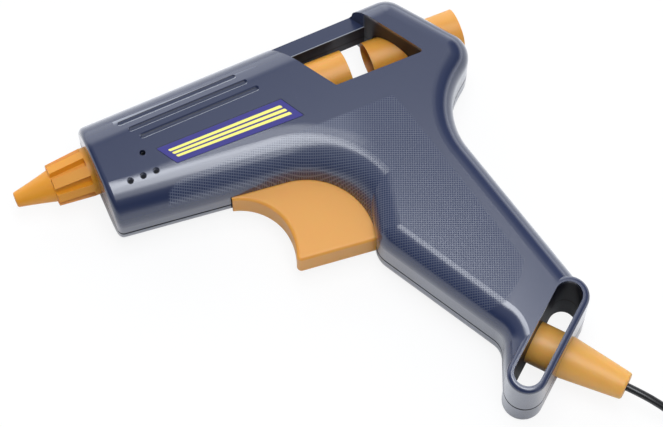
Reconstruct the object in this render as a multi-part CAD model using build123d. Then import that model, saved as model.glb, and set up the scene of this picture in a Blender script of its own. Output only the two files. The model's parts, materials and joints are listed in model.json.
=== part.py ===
from build123d import *
import math
import os

# Hot-melt glue gun lying on its right side. All sizes in millimetres.
# Working frame: X runs from the casing's front face to the rear, Y from the grip
# up to the barrel's top, Z from the right side (0, on the table) to the left side.
# The stick's axis is the line Y = 0, Z = SEAM_Z. Everything is shifted at the end
# so that the origin is under the middle of the gun.

# How far a cut runs on past what it cuts, and a size larger than the whole gun
RUN_ON = 5.0
BEYOND = 300.0

# Casing
CASE_DEPTH = 32.0
SEAM_Z = 13.0
WALL = 2.2
TOP_FRONT_Y = 14.9
TOP_RISE_DEG = 1.5
BELLY_FRONT_Y = -29.3
BELLY_FALL_DEG = 6.7
FRONT_EDGE_R = 2.4
TOP_ROUND = (11.0, 15.0)
BELLY_ROUND = (12.0, 14.0)
BACK_ROUND = (6.5, 8.5)
GRIP_FRONT_ROUND = (9.2, 9.0)
HUMP_TOP = (131.2, 17.0)
HUMP_TOP_R = 9.5
TAIL = (154.6, -16.2)
TAIL_R = 10.5
NECK = (129.8, -36.0)
NECK_R = 29.0
NOSE = (86.5, -75.8)
NOSE_R = 9.5
HEEL = (114.4, -127.6)
HEEL_R = 8.0
SEAM_GROOVE = (0.4, 0.5)
# The barrel's and the grip's outlines overlap inside the casing between these values.
BARREL_RUN_X = (-20.0, 112.0)
GRIP_RUN_X = 104.0
GRIP_RUN_IN = 20.0

# Trigger bay: the round throat that the trigger slides into
BAY_R = 26.4
BAY_TOUCH_X = 65.6
BAY_END_DEG = -10.0

# Hanging slot in the foot of the grip
SLOT_TOP = (141.5, -124.8)
SLOT_FOOT = (114.7, -146.5)
SLOT_R = 5.2
FOOT_RIM = 2.6
FOOT_EDGE_R = 1.8

# Feed window and the rail that bridges it
WINDOW_FLOOR_Y = -12.3
WINDOW_FRONT_X = 96.9
WINDOW_REAR_X = 133.7
WINDOW_LEAN_DEG = 58.5
WINDOW_CORNER_R = 1.0
RAIL_Z = (7.8, 20.6)
RAIL_DEPTH = 6.6

# Marks in the left side
VENT_COUNT = 3
VENT_WIDTH = 1.5
VENT_DEPTH = 1.2
VENT_LIP = 0.45
VENT_LIP_DEG = 45.0
VENT_LENGTH = 48.5
VENT_START = (15.3, 6.1)
VENT_STEP = (3.0, -4.4)
LABEL_CORNERS = ((23.6, -9.6), (28.9, -18.6), (80.9, -19.3), (75.3, -9.2))
LABEL_DEPTH = 0.35
PEEP_HOLE = (18.6, -9.3)
PEEP_R = 1.15
DIMPLE_START = (10.2, -18.2)
DIMPLE_STEP = 5.2
DIMPLE_COUNT = 3
DIMPLE_R = 1.3

# Case screws, driven from the right side
SCREW_PLACES = ((12.0, -21.5), (56.0, -25.0), (100.0, -27.0), (139.5, -17.0), (107.0, -96.0), (138.0, -110.0))
SCREW_R = 1.5
SCREW_FIT = 0.05
SCREW_HEAD_R = 2.8
SCREW_HEAD_H = 2.0
SCREW_HEAD_EDGE = 0.8
SCREW_TIP_EDGE = 0.9
SCREW_TIP_GAP = 1.0
CROSS_ARM = 1.7
CROSS_HALF = 0.4
CROSS_DEPTH = 1.0
SCREW_SEAT_Z = 5.5
SCREW_LENGTH = 17.0
BOSS_R = 3.3
WELL_R = 3.2
WELL_WALL = 1.6

# Nozzle and its heat-proof boot
BOOT_LENGTH = 31.4
BOOT_TIP_R = 2.95
BOOT_TIP_EDGE = 0.7
BOOT_MOUTH_R = 1.2
BOOT_HOLLOW = 0.1
BOOT_WAIST_X = -16.8
BOOT_WAIST_R = 6.3
BOOT_ROOT_R = 7.4
BOOT_FLANGE_R = 9.6
BOOT_FLANGE_T = 2.0
RIB_COUNT = 8
RIB_WIDTH = 4.0
RIB_FRONT_R = 8.2
RIB_SLOPE = 0.6
NOZZLE_TIP_R = 1.7
NOZZLE_SETBACK = 1.0
NOZZLE_BODY_R = 4.6
NOZZLE_BORE_R = 0.9
NOZZLE_FEED_R = 2.4
NOZZLE_CONE = 4.0
THREAD_R = 4.0
THREAD_LENGTH = 8.0
THREAD_FIT = 0.05
SLIP_FIT = 0.1
FRONT_HOLE_R = 5.6

# Melt chamber, heater and stick guides
CHAMBER_FRONT_X = 3.4
CHAMBER_REAR_X = 52.0
CHAMBER_R = 8.2
SPIGOT_R = 7.2
SPIGOT_LENGTH = 10.0
MELT_BORE_R = 6.0
MELT_INLET_R = 6.3
MELT_CONE = 6.0
HEATER_FRONT_X = 15.0
HEATER_REAR_X = 45.0
HEATER_BLOCK_HALF = 7.0
HEATER_BLOCK_Y = -15.6
POCKET_TOP_Y = -9.4
POCKET_HEIGHT = 4.3
POCKET_HALF = 5.4
HEATER_END_GAP = 1.0
FILM_T = 0.3
ELECTRODE_T = 0.5
PTC_T = 2.5
PTC_SIDE_GAP = 0.4
PTC_END_GAP = (2.0, 4.0)
TAB_LENGTH = 6.0
TAB_HALF = 1.3
CLIP_T = 0.5
CLIP_INSET = 8.0
CLIP_ARM = 9.0
COLLAR_T = 1.8
COLLAR_FRONT_X = 8.0
COLLAR_REAR_X = 48.6
INLET_R = 8.9
INLET_LENGTH = 20.0
CLAMP_WIRE = 1.0
CLAMP_OPEN = 3.0
WIRE_SIDES = 8
GUIDE_R = 8.7
GUIDE_NECK_R = 7.5
GUIDE_BORE_R = 6.4
GUIDE_FRONT_X = 70.0
GUIDE_REAR_X = 106.5
GUIDE_FLANGE_R = 10.2
GUIDE_FLANGE_X = 77.0
GUIDE_FLANGE_T = 2.0

# Feed carriage: the sliding tube that carries the stick forward
CARRIAGE_MOUTH_X = 115.8
CARRIAGE_TAIL_X = 153.8
CARRIAGE_MOUTH_R = 8.3
CARRIAGE_TAIL_R = 8.0
STICK_BORE_R = 6.2
MOUTH_FLARE_R = 7.5
MOUTH_FLARE_LENGTH = 5.0
ENTRY_FLARE_R = 6.8
ENTRY_FLARE_LENGTH = 1.0
SLIDE_GAP = 0.4
CHEEK_T = 2.7
CHEEK_GAP = 0.3
LUG_LENGTH = 9.5

# Feed lever: a rocker that turns the trigger's pull into the carriage's push
PIVOT = (121.0, -38.0)
PIVOT_R = 1.5
PIVOT_FIT = 0.05
PIVOT_BOSS_R = 4.0
PIVOT_PIN_Z = (6.0, 24.0)
LEVER_T = 4.0
LEVER_UP = 18.2
LEVER_DOWN = 28.0
LEVER_HUB_R = 5.2
LEVER_END_R = 3.4
DRIVE_PIN_R = 1.5
DRIVE_PIN_GAP = 0.25
TRIGGER_TRAVEL = 12.0

# Toothed jaw that bites the stick from below
JAW_T = 3.6
JAW_PIN_R = 1.0
JAW_PIN_FIT = 0.05
JAW_PIN_DROP = 10.6
JAW_TEETH = 5
JAW_LENGTH = 8.0
JAW_TOOTH_H = 0.8
JAW_SLOT_GAP = 0.35
JAW_BITE_DEG = 6.0

# Trigger
TRIGGER_T = 12.0
TRIGGER_SLOT_GAP = 0.4
TRIGGER_TIP = (44.0, -34.5)
TRIGGER_TIP_T = 0.9
TRIGGER_TOP_Y = -31.5
TRIGGER_REAR_X = 91.0
TRIGGER_HOOK_MID = (55.6, -43.7)
TRIGGER_HOOK_DEEP = (59.3, -54.4)
TRIGGER_TOE = (56.3, -68.2)
TRIGGER_TOE_R = 1.8
TRIGGER_SOLE_FALL_DEG = 6.6
TRIGGER_EDGE = 1.3
RUNNER_Y = -42.0
RUNNER_H = 3.0
RUNNER_T = 1.6
RUNNER_X = (86.5, 100.0)
RAIL_T = 1.5
RAIL_X = (84.0, 114.0)
GUIDE_GAP = 0.3
ARM_END_R = 4.6
ARM_ROOT = 3.0

# Return spring behind the trigger
SPRING_Y = -50.0
SPRING_FRONT_X = 77.0
SPRING_SEAT_X = 106.0
SPRING_SEAT_T = 2.2
SPRING_SEAT_HALF = 5.0
SPRING_MEAN_R = 3.3
SPRING_WIRE = 0.8
SPRING_TURNS = 9
SPRING_GAP = 0.5
SPRING_END_GAP = 0.2

# Lead: strain relief, cable, cores
RELIEF_OFFSET = 1.4
RELIEF_R = 8.3
RELIEF_TIP_R = 5.3
RELIEF_TIP_EDGE = 1.0
RELIEF_CONE = 25.2
RELIEF_FLANGE_R = 9.6
RELIEF_FLANGE_T = 2.0
RELIEF_FIT = 0.1
CORD_D = 3.1
CABLE_INNER_END = 13.5
CORE_R = 0.7
CORE_SPACING = 2.7
SPLICE_R = 1.2
SPLICE_LENGTH = 9.0
SPLICE_TOP = (123.5, -97.0)
SPLICE_DROP = 8.0
# Places the heater's cores pass, with their height over the splices
CORE_RUN = (
    (72.0, -17.5, 3.0),
    (108.0, -19.5, 4.0),
    (124.0, -25.0, 2.5),
    (128.0, -44.0, 0.0),
    (127.0, -66.0, 0.0),
)
CORE_TAB_RUN = 6.0
CORE_LAST_Y = -84.0
CORE_START_RUN = 4.0
CORE_END_RUN = 9.5

# Free lead on the table, as steps along the strain relief's axis and heights
CORD_STEPS = ((0.0, 13.0), (7.6, 13.0), (15.2, 10.8), (22.8, 7.2), (30.4, 4.0), (38.0, 2.5), (45.0, 2.5))
# Share of a run that each of its end arcs may take
ARC_SHARE = 0.47
CORD_SIDES = 12
COIL_SIDES = 8
COIL_LAYERS = 4
COIL_HALF_TURNS = 6
COIL_INNER_R = 12.2
COIL_PITCH = 3.6
COIL_RISE = 3.6
TIE_T = 0.6
TIE_WIDTH = 4.0
TIE_GAP = 0.3
TAIL_START = 8.4
TAIL_STEPS = ((-2.0, 8.2, -1.8), (1.4, 8.4, -2.7), (4.0, 7.6, -2.0), (4.4, 7.8, 0.0))
PLUG_WIDTH = 35.0
PLUG_DEPTH = 13.6
PLUG_LENGTH = 34.0
PLUG_NECK_HALF = 4.6
PLUG_NECK_LENGTH = 9.0
PLUG_NECK_FLARE = 1.0
PLUG_BACK_X = 18.0
PLUG_ROUNDS = (2.0, 6.0, 5.0, 3.0)
PLUG_EDGE = 1.4
PLUG_PIN_EDGE = 0.9
PLUG_PIN_R = 2.0
PLUG_PIN_LENGTH = 19.0
PLUG_PIN_SPACING = 18.6

AXIS_PLANE = Plane(origin=(0, 0, SEAM_Z), x_dir=(1, 0, 0), z_dir=(0, 0, 1))


def top_y(x):
    """Height of the barrel's top line at x."""
    return TOP_FRONT_Y + x * math.tan(math.radians(TOP_RISE_DEG))


def belly_y(x):
    """Height of the barrel's lower line at x."""
    return BELLY_FRONT_Y - x * math.tan(math.radians(BELLY_FALL_DEG))


def unit(angle_deg):
    return Vector(math.cos(math.radians(angle_deg)), math.sin(math.radians(angle_deg)))


def polygon(corners):
    """Face from (x, y, radius) corners, each rounded to its own radius."""
    face = make_face(Polyline(*[(x, y) for x, y, r in corners], close=True))
    for x, y, r in corners:
        if r > 0:
            corner = face.vertices().sort_by_distance((x, y, 0))[0]
            face = fillet(corner, r)
    return face


def stadium(start, end, radius):
    """Slot-shaped face round two centres."""
    return make_hull((Pos(*start) * Circle(radius)).edges() + (Pos(*end) * Circle(radius)).edges())


def prism(face, low, high):
    return Pos(0, 0, low) * extrude(face, amount=high - low)


def block(x, y, z):
    """Box from (low, high) pairs."""
    size = [high - low for low, high in (x, y, z)]
    middle = [(low + high) / 2 for low, high in (x, y, z)]
    return Pos(*middle) * Box(*size)


def rod(x, y, low, high, radius):
    """Cylinder along Z."""
    return Pos(x, y, (low + high) / 2) * Cylinder(radius, high - low)


def turned(profile):
    """Solid of revolution round the stick's axis from (x, radius) points."""
    face = make_face(Polyline(*profile, close=True))
    return AXIS_PLANE * revolve(face, Axis.X)


def tube_x(x_low, x_high, radius):
    """Cylinder along the stick's axis."""
    return turned(((x_low, 0), (x_high, 0), (x_high, radius), (x_low, radius)))


def round_edge(solid, x, y, z, radius):
    """Round the edge that passes nearest to a point, with the edges that run on from it."""
    edge = solid.edges().sort_by_distance((x, y, z))[0]
    return fillet(edge, radius)


# The throat's centre lies one radius below the belly line, where that line meets it.
BAY_TOUCH_DEG = 90.0 - BELLY_FALL_DEG
BAY_TOUCH = Vector(BAY_TOUCH_X, belly_y(BAY_TOUCH_X))
BAY_CENTRE = BAY_TOUCH - unit(BAY_TOUCH_DEG) * BAY_R
BAY_END = BAY_CENTRE + unit(BAY_END_DEG) * BAY_R

SLOT_DIR = (Vector(*SLOT_TOP) - Vector(*SLOT_FOOT)).normalized()
LEAD_DIR = Vector(SLOT_DIR.Y, -SLOT_DIR.X)
LEAD_START = (Vector(*SLOT_TOP) + Vector(*SLOT_FOOT)) / 2 + SLOT_DIR * RELIEF_OFFSET
FOOT_R = SLOT_R + FOOT_RIM
LEVER_SWING = math.degrees(math.asin(TRIGGER_TRAVEL / 2 / LEVER_DOWN))
CARRIAGE_TRAVEL = 2 * LEVER_UP * math.sin(math.radians(LEVER_SWING))
LEVER_TOP = Vector(*PIVOT) + unit(90 - LEVER_SWING) * LEVER_UP
LEVER_FOOT = Vector(*PIVOT) - unit(90 - LEVER_SWING) * LEVER_DOWN
LUG_HALF = LEVER_T / 2 + CHEEK_GAP + CHEEK_T
SPLICE_Z = CASE_DEPTH - SPLICE_DROP
RELIEF_INNER = -SLOT_R - WALL - RELIEF_FLANGE_T
RELIEF_TIP = FOOT_R + RELIEF_CONE
PTC_HALF = POCKET_HALF - SLIP_FIT - FILM_T - PTC_SIDE_GAP
TAB_END_X = HEATER_REAR_X - HEATER_END_GAP + TAB_LENGTH


def lead_point(distance, z):
    """Point on the lead's axis, that far from the slot's middle, at a height."""
    place = LEAD_START + LEAD_DIR * distance
    return Vector(place.X, place.Y, z)


CORD_POINTS = [lead_point(RELIEF_TIP + step, z) for step, z in CORD_STEPS]


def tangent_foot(point, centre, radius, side):
    """Where the line from a point touches a circle, on its left (1) or right (-1)."""
    away = Vector(*point) - Vector(*centre)
    swing = math.degrees(math.acos(radius / away.length))
    heading = math.degrees(math.atan2(away.Y, away.X))
    return Vector(*centre) + unit(heading + side * swing) * radius


def window_x(floor_x, y):
    """Where a leaning side of the window is at a height, from its place on the window's floor."""
    return floor_x - (y - WINDOW_FLOOR_Y) / math.tan(math.radians(WINDOW_LEAN_DEG))


def barrel_face():
    """Barrel outline, run on past the front face and into the grip."""
    front, rear = BARREL_RUN_X
    rail_end = window_x(WINDOW_REAR_X, TOP_FRONT_Y)
    top_end = (rail_end, top_y(rail_end))
    inner_end = BAY_END + unit(BAY_END_DEG) * ((rear - BAY_END.X) / unit(BAY_END_DEG).X)
    mid = BAY_CENTRE + unit((BAY_TOUCH_DEG + BAY_END_DEG) / 2) * BAY_R
    edges = [
        Line((front, top_y(front)), top_end),
        Line(top_end, (rear, 0)),
        Line((rear, 0), inner_end),
        Line(inner_end, BAY_END),
        ThreePointArc(BAY_END, mid, BAY_TOUCH),
        Line(BAY_TOUCH, (front, belly_y(front))),
        Line((front, belly_y(front)), (front, top_y(front))),
    ]
    return make_face(edges)


def grip_face():
    """Hump, neck and grip outline, run on into the barrel and the foot."""
    back_foot = tangent_foot(NECK, SLOT_TOP, FOOT_R, -1)
    toe = tangent_foot(HEEL, SLOT_FOOT, FOOT_R, 1)
    inside = BAY_END + (BAY_END - Vector(*NOSE)).normalized() * GRIP_RUN_IN
    corners = [
        (GRIP_RUN_X, HUMP_TOP[1] + top_y(GRIP_RUN_X) - top_y(HUMP_TOP[0]), 0),
        (*HUMP_TOP, HUMP_TOP_R),
        (*TAIL, TAIL_R),
        (*NECK, NECK_R),
        (back_foot.X, back_foot.Y, 0),
        (*SLOT_TOP, 0),
        (*SLOT_FOOT, 0),
        (toe.X, toe.Y, 0),
        (*HEEL, HEEL_R),
        (*NOSE, NOSE_R),
        (inside.X, inside.Y, 0),
        (GRIP_RUN_X, inside.Y, 0),
    ]
    return polygon(corners)


def moulding(inset):
    """The casing's closed form, drawn in all round by an inset."""
    low, high = inset, CASE_DEPTH - inset
    barrel_outline, grip_outline = barrel_face(), grip_face()
    if inset:
        barrel_outline = offset(barrel_outline, -inset, kind=Kind.INTERSECTION)
        grip_outline = offset(grip_outline, -inset, kind=Kind.INTERSECTION)
    barrel = prism(barrel_outline, low, high)
    grip = prism(grip_outline, low, high)
    top = Vector(BAY_TOUCH_X, top_y(BAY_TOUCH_X) - inset)
    throat = BAY_CENTRE + unit((BAY_TOUCH_DEG + BAY_END_DEG) / 2) * (BAY_R + inset)
    back = (Vector(*NECK) + Vector(*SLOT_TOP)) / 2
    front = (Vector(*NOSE) + Vector(*HEEL)) / 2
    for side, z in enumerate((low, high)):
        barrel = round_edge(barrel, top.X, top.Y, z, TOP_ROUND[side] - inset)
        barrel = round_edge(barrel, throat.X, throat.Y, z, BELLY_ROUND[side] - inset)
        grip = round_edge(grip, back.X, back.Y, z, BACK_ROUND[side] - inset)
        grip = round_edge(grip, front.X, front.Y, z, GRIP_FRONT_ROUND[side] - inset)
    return barrel, grip


def window_face(grow):
    """Feed window, open at the top, grown all round by a wall."""
    side = grow / math.sin(math.radians(WINDOW_LEAN_DEG))
    low, high = WINDOW_FLOOR_Y - grow, TOP_FRONT_Y + 2 * RUN_ON
    corner = WINDOW_CORNER_R + grow
    front = [window_x(WINDOW_FRONT_X - side, y) for y in (low, high)]
    rear = [window_x(WINDOW_REAR_X + side, y) for y in (low, high)]
    corners = [
        (front[0], low, corner),
        (rear[0], low, corner),
        (rear[1], high, 0),
        (front[1], high, 0),
    ]
    return polygon(corners)


def rail():
    """Bar over the window, under the top line."""
    ends = (0.0, WINDOW_REAR_X)
    lower = [(x, top_y(x) - RAIL_DEPTH) for x in ends]
    upper = [(x, top_y(x) + RUN_ON) for x in reversed(ends)]
    face = make_face(Polyline(*lower, *upper, close=True))
    return prism(face, *RAIL_Z)


def carriage_r(x):
    """Outer radius of the carriage's tapering tube."""
    share = (x - CARRIAGE_MOUTH_X) / (CARRIAGE_TAIL_X - CARRIAGE_MOUTH_X)
    return CARRIAGE_MOUTH_R + share * (CARRIAGE_TAIL_R - CARRIAGE_MOUTH_R)


def sole_y(x):
    """Height of the trigger's underside at x."""
    return TRIGGER_TOE[1] - (x - TRIGGER_TOE[0]) * math.tan(math.radians(TRIGGER_SOLE_FALL_DEG))


def on_lead(profile):
    """Solid of revolution round the lead's axis from (distance, radius) points."""
    plane = Plane(origin=(LEAD_START.X, LEAD_START.Y, SEAM_Z), x_dir=LEAD_DIR, z_dir=(0, 0, 1))
    return plane * revolve(make_face(Polyline(*profile, close=True)), Axis.X)


def everywhere(x):
    """Slab across the casing between two x values."""
    return block(x, (-BEYOND, BEYOND), (-RUN_ON, CASE_DEPTH + RUN_ON))


def plan(inset):
    """Outline of the whole casing, drawn in by an inset."""
    barrel, grip = barrel_face(), grip_face()
    if inset:
        barrel = offset(barrel, -inset, kind=Kind.INTERSECTION)
        grip = offset(grip, -inset, kind=Kind.INTERSECTION)
    foot = stadium(SLOT_TOP, SLOT_FOOT, FOOT_R - inset)
    solid = prism(barrel, 0, 1) + prism(grip, 0, 1) + prism(foot, 0, 1)
    return solid - everywhere((-BEYOND, inset))


def closed_form():
    """Outside of the casing before it is hollowed."""
    barrel, grip = moulding(0)
    barrel = barrel - everywhere((-BEYOND, 0))
    barrel = fillet(barrel.faces().sort_by(Axis.X)[0].edges(), FRONT_EDGE_R)
    foot = prism(stadium(SLOT_TOP, SLOT_FOOT, FOOT_R), 0, CASE_DEPTH)
    rims = foot.faces().filter_by(Axis.Z).edges()
    foot = fillet(rims, FOOT_EDGE_R)
    return barrel + grip + foot


def hollow():
    """Inside of the casing."""
    barrel, grip = moulding(WALL)
    space = barrel - everywhere((-BEYOND, WALL)) + grip
    space -= prism(window_face(WALL), 0, CASE_DEPTH)
    space -= prism(stadium(SLOT_TOP, SLOT_FOOT, SLOT_R + WALL), 0, CASE_DEPTH)
    return space


def trigger_bay():
    """What the trigger sweeps through the casing's wall."""
    gap = TRIGGER_SLOT_GAP
    front = TRIGGER_TIP[0] - gap
    rear = TRIGGER_REAR_X + TRIGGER_TRAVEL
    corners = [
        (front, TRIGGER_TIP[1] - BAY_R),
        (front, TRIGGER_TOP_Y + gap),
        (rear, TRIGGER_TOP_Y + gap),
        (rear, sole_y(rear) - gap),
        (TRIGGER_TOE[0], sole_y(TRIGGER_TOE[0]) - gap),
    ]
    half = TRIGGER_T / 2 + gap
    return prism(make_face(Polyline(*corners, close=True)), SEAM_Z - half, SEAM_Z + half)


def lug_x():
    """Span of the carriage's lug along the stick."""
    return LEVER_TOP.X - LUG_LENGTH / 2, LEVER_TOP.X + LUG_LENGTH / 2


def openings():
    """Everything that is cut through the casing's walls."""
    front, rear = lug_x()
    through = (-RUN_ON, CASE_DEPTH + RUN_ON)
    cuts = prism(window_face(0), *through) - rail()
    cuts += tube_x(-RUN_ON, CHAMBER_FRONT_X, FRONT_HOLE_R)
    cuts += tube_x(GUIDE_FLANGE_X, GUIDE_REAR_X, GUIDE_R + SLIP_FIT)
    mouth, tail = CARRIAGE_MOUTH_X, CARRIAGE_TAIL_X
    cuts += turned(
        ((mouth, 0), (tail, 0), (tail, carriage_r(tail) + SLIDE_GAP), (mouth, carriage_r(mouth) + SLIDE_GAP))
    )
    cuts += block(
        (front - CARRIAGE_TRAVEL - SLIDE_GAP, rear + SLIDE_GAP),
        (WINDOW_FLOOR_Y - WALL - RUN_ON, WINDOW_FLOOR_Y + RUN_ON),
        (SEAM_Z - LUG_HALF - SLIDE_GAP, SEAM_Z + LUG_HALF + SLIDE_GAP),
    )
    cuts += trigger_bay()
    cuts += prism(stadium(SLOT_TOP, SLOT_FOOT, SLOT_R), *through)
    hole = RELIEF_R + RELIEF_FIT
    inner, outer = -SLOT_R - WALL - RUN_ON, FOOT_R + RUN_ON
    cuts += on_lead(((inner, 0), (outer, 0), (outer, hole), (inner, hole)))
    return cuts


def collars():
    """Cross walls that hold the melt chamber and the guide sleeve."""
    below = HEATER_BLOCK_Y
    walls = []
    for x in (COLLAR_FRONT_X, COLLAR_REAR_X):
        slab = block((x, x + COLLAR_T), (below, BEYOND), (0, CASE_DEPTH))
        slab -= block((x, x + COLLAR_T), (below, 0), (SEAM_Z - POCKET_HALF, SEAM_Z + POCKET_HALF))
        walls.append(slab - tube_x(x, x + COLLAR_T, CHAMBER_R + SLIP_FIT))
    x = GUIDE_FLANGE_X
    thick = GUIDE_FLANGE_T + 2 * COLLAR_T
    slab = block((x - COLLAR_T, x - COLLAR_T + thick), (-GUIDE_FLANGE_R - WALL, BEYOND), (0, CASE_DEPTH))
    slab -= tube_x(x - COLLAR_T, x + thick, GUIDE_R + SLIP_FIT)
    slab -= tube_x(x - SLIP_FIT, x + GUIDE_FLANGE_T + SLIP_FIT, GUIDE_FLANGE_R + SLIP_FIT)
    walls.append(slab)
    return walls


def trigger_rails():
    """Pairs of ribs that the trigger's runners slide between."""
    ribs = []
    near = TRIGGER_T / 2 + GUIDE_GAP
    for side in (-1, 1):
        low = RUNNER_Y + side * (RUNNER_H / 2 + GUIDE_GAP)
        y = sorted((low, low + side * RAIL_T))
        ribs.append(block(RAIL_X, y, (SEAM_Z + near, CASE_DEPTH)))
        ribs.append(block(RAIL_X, y, (0, SEAM_Z - near)))
    return ribs


def bosses():
    """Screw bosses, pivot bosses and the spring's seat."""
    posts = []
    for x, y in SCREW_PLACES:
        posts.append(rod(x, y, 0, CASE_DEPTH, BOSS_R))
        posts.append(rod(x, y, 0, SCREW_SEAT_Z + WELL_WALL, WELL_R + WELL_WALL))
    clear = LEVER_T / 2 + CHEEK_GAP
    posts.append(rod(*PIVOT, 0, SEAM_Z - clear, PIVOT_BOSS_R))
    posts.append(rod(*PIVOT, SEAM_Z + clear, CASE_DEPTH, PIVOT_BOSS_R))
    seat_y = (SPRING_Y - SPRING_SEAT_HALF, SPRING_Y + SPRING_SEAT_HALF)
    posts.append(block((SPRING_SEAT_X, SPRING_SEAT_X + SPRING_SEAT_T), seat_y, (0, CASE_DEPTH)))
    return posts


def fastener_holes():
    """Screw wells, clearance holes, pilot holes and the pivot's hole."""
    holes = [rod(*PIVOT, *PIVOT_PIN_Z, PIVOT_R + PIVOT_FIT)]
    for x, y in SCREW_PLACES:
        holes.append(rod(x, y, -RUN_ON, SCREW_SEAT_Z, WELL_R))
        end = SCREW_SEAT_Z + SCREW_LENGTH + SCREW_TIP_GAP
        holes.append(rod(x, y, 0, end, SCREW_R + SCREW_FIT))
    return holes


def left_marks():
    """Grooves, label recess and small holes in the left side."""
    marks = []
    over = CASE_DEPTH + RUN_ON
    middle = VENT_START[0] + VENT_LENGTH / 2
    for i in range(VENT_COUNT):
        x, y = VENT_START[0] + i * VENT_STEP[0], VENT_START[1] + i * VENT_STEP[1]
        lean = max(0.0, y - (top_y(middle) - TOP_ROUND[1]))
        skin = CASE_DEPTH - TOP_ROUND[1] + math.sqrt(TOP_ROUND[1] ** 2 - lean**2)
        end = Vector(x, y) + unit(TOP_RISE_DEG) * (VENT_LENGTH - VENT_WIDTH)
        groove = stadium((x, y), (end.X, end.Y), VENT_WIDTH / 2)
        marks.append(prism(groove, skin - VENT_DEPTH, over))
        lip = extrude(groove, amount=2 * VENT_LIP, taper=-VENT_LIP_DEG)
        marks.append(Pos(0, 0, skin - VENT_LIP) * lip)
    label = make_face(Polyline(*LABEL_CORNERS, close=True))
    marks.append(prism(label, CASE_DEPTH - LABEL_DEPTH, over))
    marks.append(rod(*PEEP_HOLE, CASE_DEPTH - 2 * WALL, over, PEEP_R))
    for i in range(DIMPLE_COUNT):
        x, y = DIMPLE_START[0] + i * DIMPLE_STEP, DIMPLE_START[1]
        marks.append(rod(x, y, CASE_DEPTH - WALL / 2, over, DIMPLE_R))
    return marks


def casing():
    """Both casing halves, split at the seam."""
    outside = closed_form()
    barrel_core, grip_core = moulding(WALL / 2)
    core = barrel_core + grip_core
    shell = outside - hollow() - openings()
    for feature in collars() + trigger_rails() + bosses():
        shell += (core & feature) - trigger_bay()
    shell = shell - fastener_holes() - left_marks()
    wide = (-BEYOND, BEYOND)
    low = block(wide, wide, (-RUN_ON, SEAM_Z))
    high = block(wide, wide, (SEAM_Z, CASE_DEPTH + RUN_ON))
    inset, height = SEAM_GROOVE
    groove = Pos(0, 0, SEAM_Z - height) * scale(plan(0) - plan(inset), (1, 1, height))
    return shell & high, (shell & low) - groove


def case_screws():
    """Pan-head screws with a cross slot, as one group."""
    screws = []
    for x, y in SCREW_PLACES:
        head = rod(x, y, SCREW_SEAT_Z - SCREW_HEAD_H, SCREW_SEAT_Z, SCREW_HEAD_R)
        head = chamfer(head.faces().sort_by(Axis.Z)[0].edges(), SCREW_HEAD_EDGE)
        bottom = SCREW_SEAT_Z - SCREW_HEAD_H
        depth = (bottom - CROSS_DEPTH, bottom + CROSS_DEPTH)
        for wide, high in ((CROSS_ARM, CROSS_HALF), (CROSS_HALF, CROSS_ARM)):
            head -= block((x - wide, x + wide), (y - high, y + high), depth)
        shank = rod(x, y, SCREW_SEAT_Z, SCREW_SEAT_Z + SCREW_LENGTH, SCREW_R)
        shank = chamfer(shank.faces().sort_by(Axis.Z)[-1].edges(), SCREW_TIP_EDGE)
        screws.append(head + shank)
    return screws


def nozzle_profile(grow):
    """Outside of the nozzle's tapered nose as (x, radius) points, tip first."""
    tip = -BOOT_LENGTH + NOZZLE_SETBACK
    return [
        (tip, NOZZLE_TIP_R + grow),
        (BOOT_WAIST_X, NOZZLE_BODY_R + grow),
        (0, NOZZLE_BODY_R + grow),
    ]


def nozzle():
    """Turned brass nozzle, screwed into the chamber."""
    shank = CHAMBER_FRONT_X + THREAD_LENGTH
    nose = nozzle_profile(0)
    tip = nose[0][0]
    outside = nose + [(CHAMBER_FRONT_X, NOZZLE_BODY_R), (CHAMBER_FRONT_X, THREAD_R), (shank, THREAD_R)]
    body = turned([(tip, 0)] + outside + [(shank, 0)])
    feed = BOOT_WAIST_X
    bore = [
        (tip, 0),
        (tip, NOZZLE_BORE_R),
        (feed, NOZZLE_BORE_R),
        (feed + NOZZLE_CONE, NOZZLE_FEED_R),
        (shank, NOZZLE_FEED_R),
        (shank, 0),
    ]
    return body - turned(bore)


def nozzle_boot():
    """Heat-proof boot with long grip ribs and a base flange."""
    tip = -BOOT_LENGTH
    waist = (BOOT_WAIST_X, BOOT_WAIST_R)
    hollow_x = (tip + BOOT_WAIST_X) / 2
    hollow_r = (BOOT_TIP_R + BOOT_WAIST_R) / 2 - BOOT_HOLLOW
    flange = -BOOT_FLANGE_T
    nose = ThreePointArc((tip, BOOT_TIP_R), (hollow_x, hollow_r), waist)
    outline = [
        Line((tip, 0), (tip, BOOT_TIP_R)),
        nose,
        Line(waist, (flange, BOOT_ROOT_R)),
        Line((flange, BOOT_ROOT_R), (flange, BOOT_FLANGE_R)),
        Line((flange, BOOT_FLANGE_R), (0, BOOT_FLANGE_R)),
        Line((0, BOOT_FLANGE_R), (0, 0)),
        Line((0, 0), (tip, 0)),
    ]
    boot = AXIS_PLANE * revolve(make_face(outline), Axis.X)
    boot = fillet(boot.edges().sort_by(Axis.X)[0], BOOT_TIP_EDGE)
    root = BOOT_WAIST_R / 2
    side = [
        (BOOT_WAIST_X, root),
        (BOOT_WAIST_X + RIB_SLOPE, RIB_FRONT_R),
        (flange, BOOT_FLANGE_R),
        (flange, root),
    ]
    rib = extrude(make_face(Polyline(*side, close=True)), amount=RIB_WIDTH / 2, both=True)
    for i in range(RIB_COUNT):
        boot += AXIS_PLANE * (Rot(360.0 / RIB_COUNT * (i + 0.5), 0, 0) * rib)
    inside = nozzle_profile(SLIP_FIT)
    start = inside[0][0] - SLIP_FIT
    boot -= turned([(start, 0), (start, inside[0][1])] + inside[1:] + [(0, 0)])
    return boot - tube_x(tip, start + NOZZLE_SETBACK, BOOT_MOUTH_R)


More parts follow.
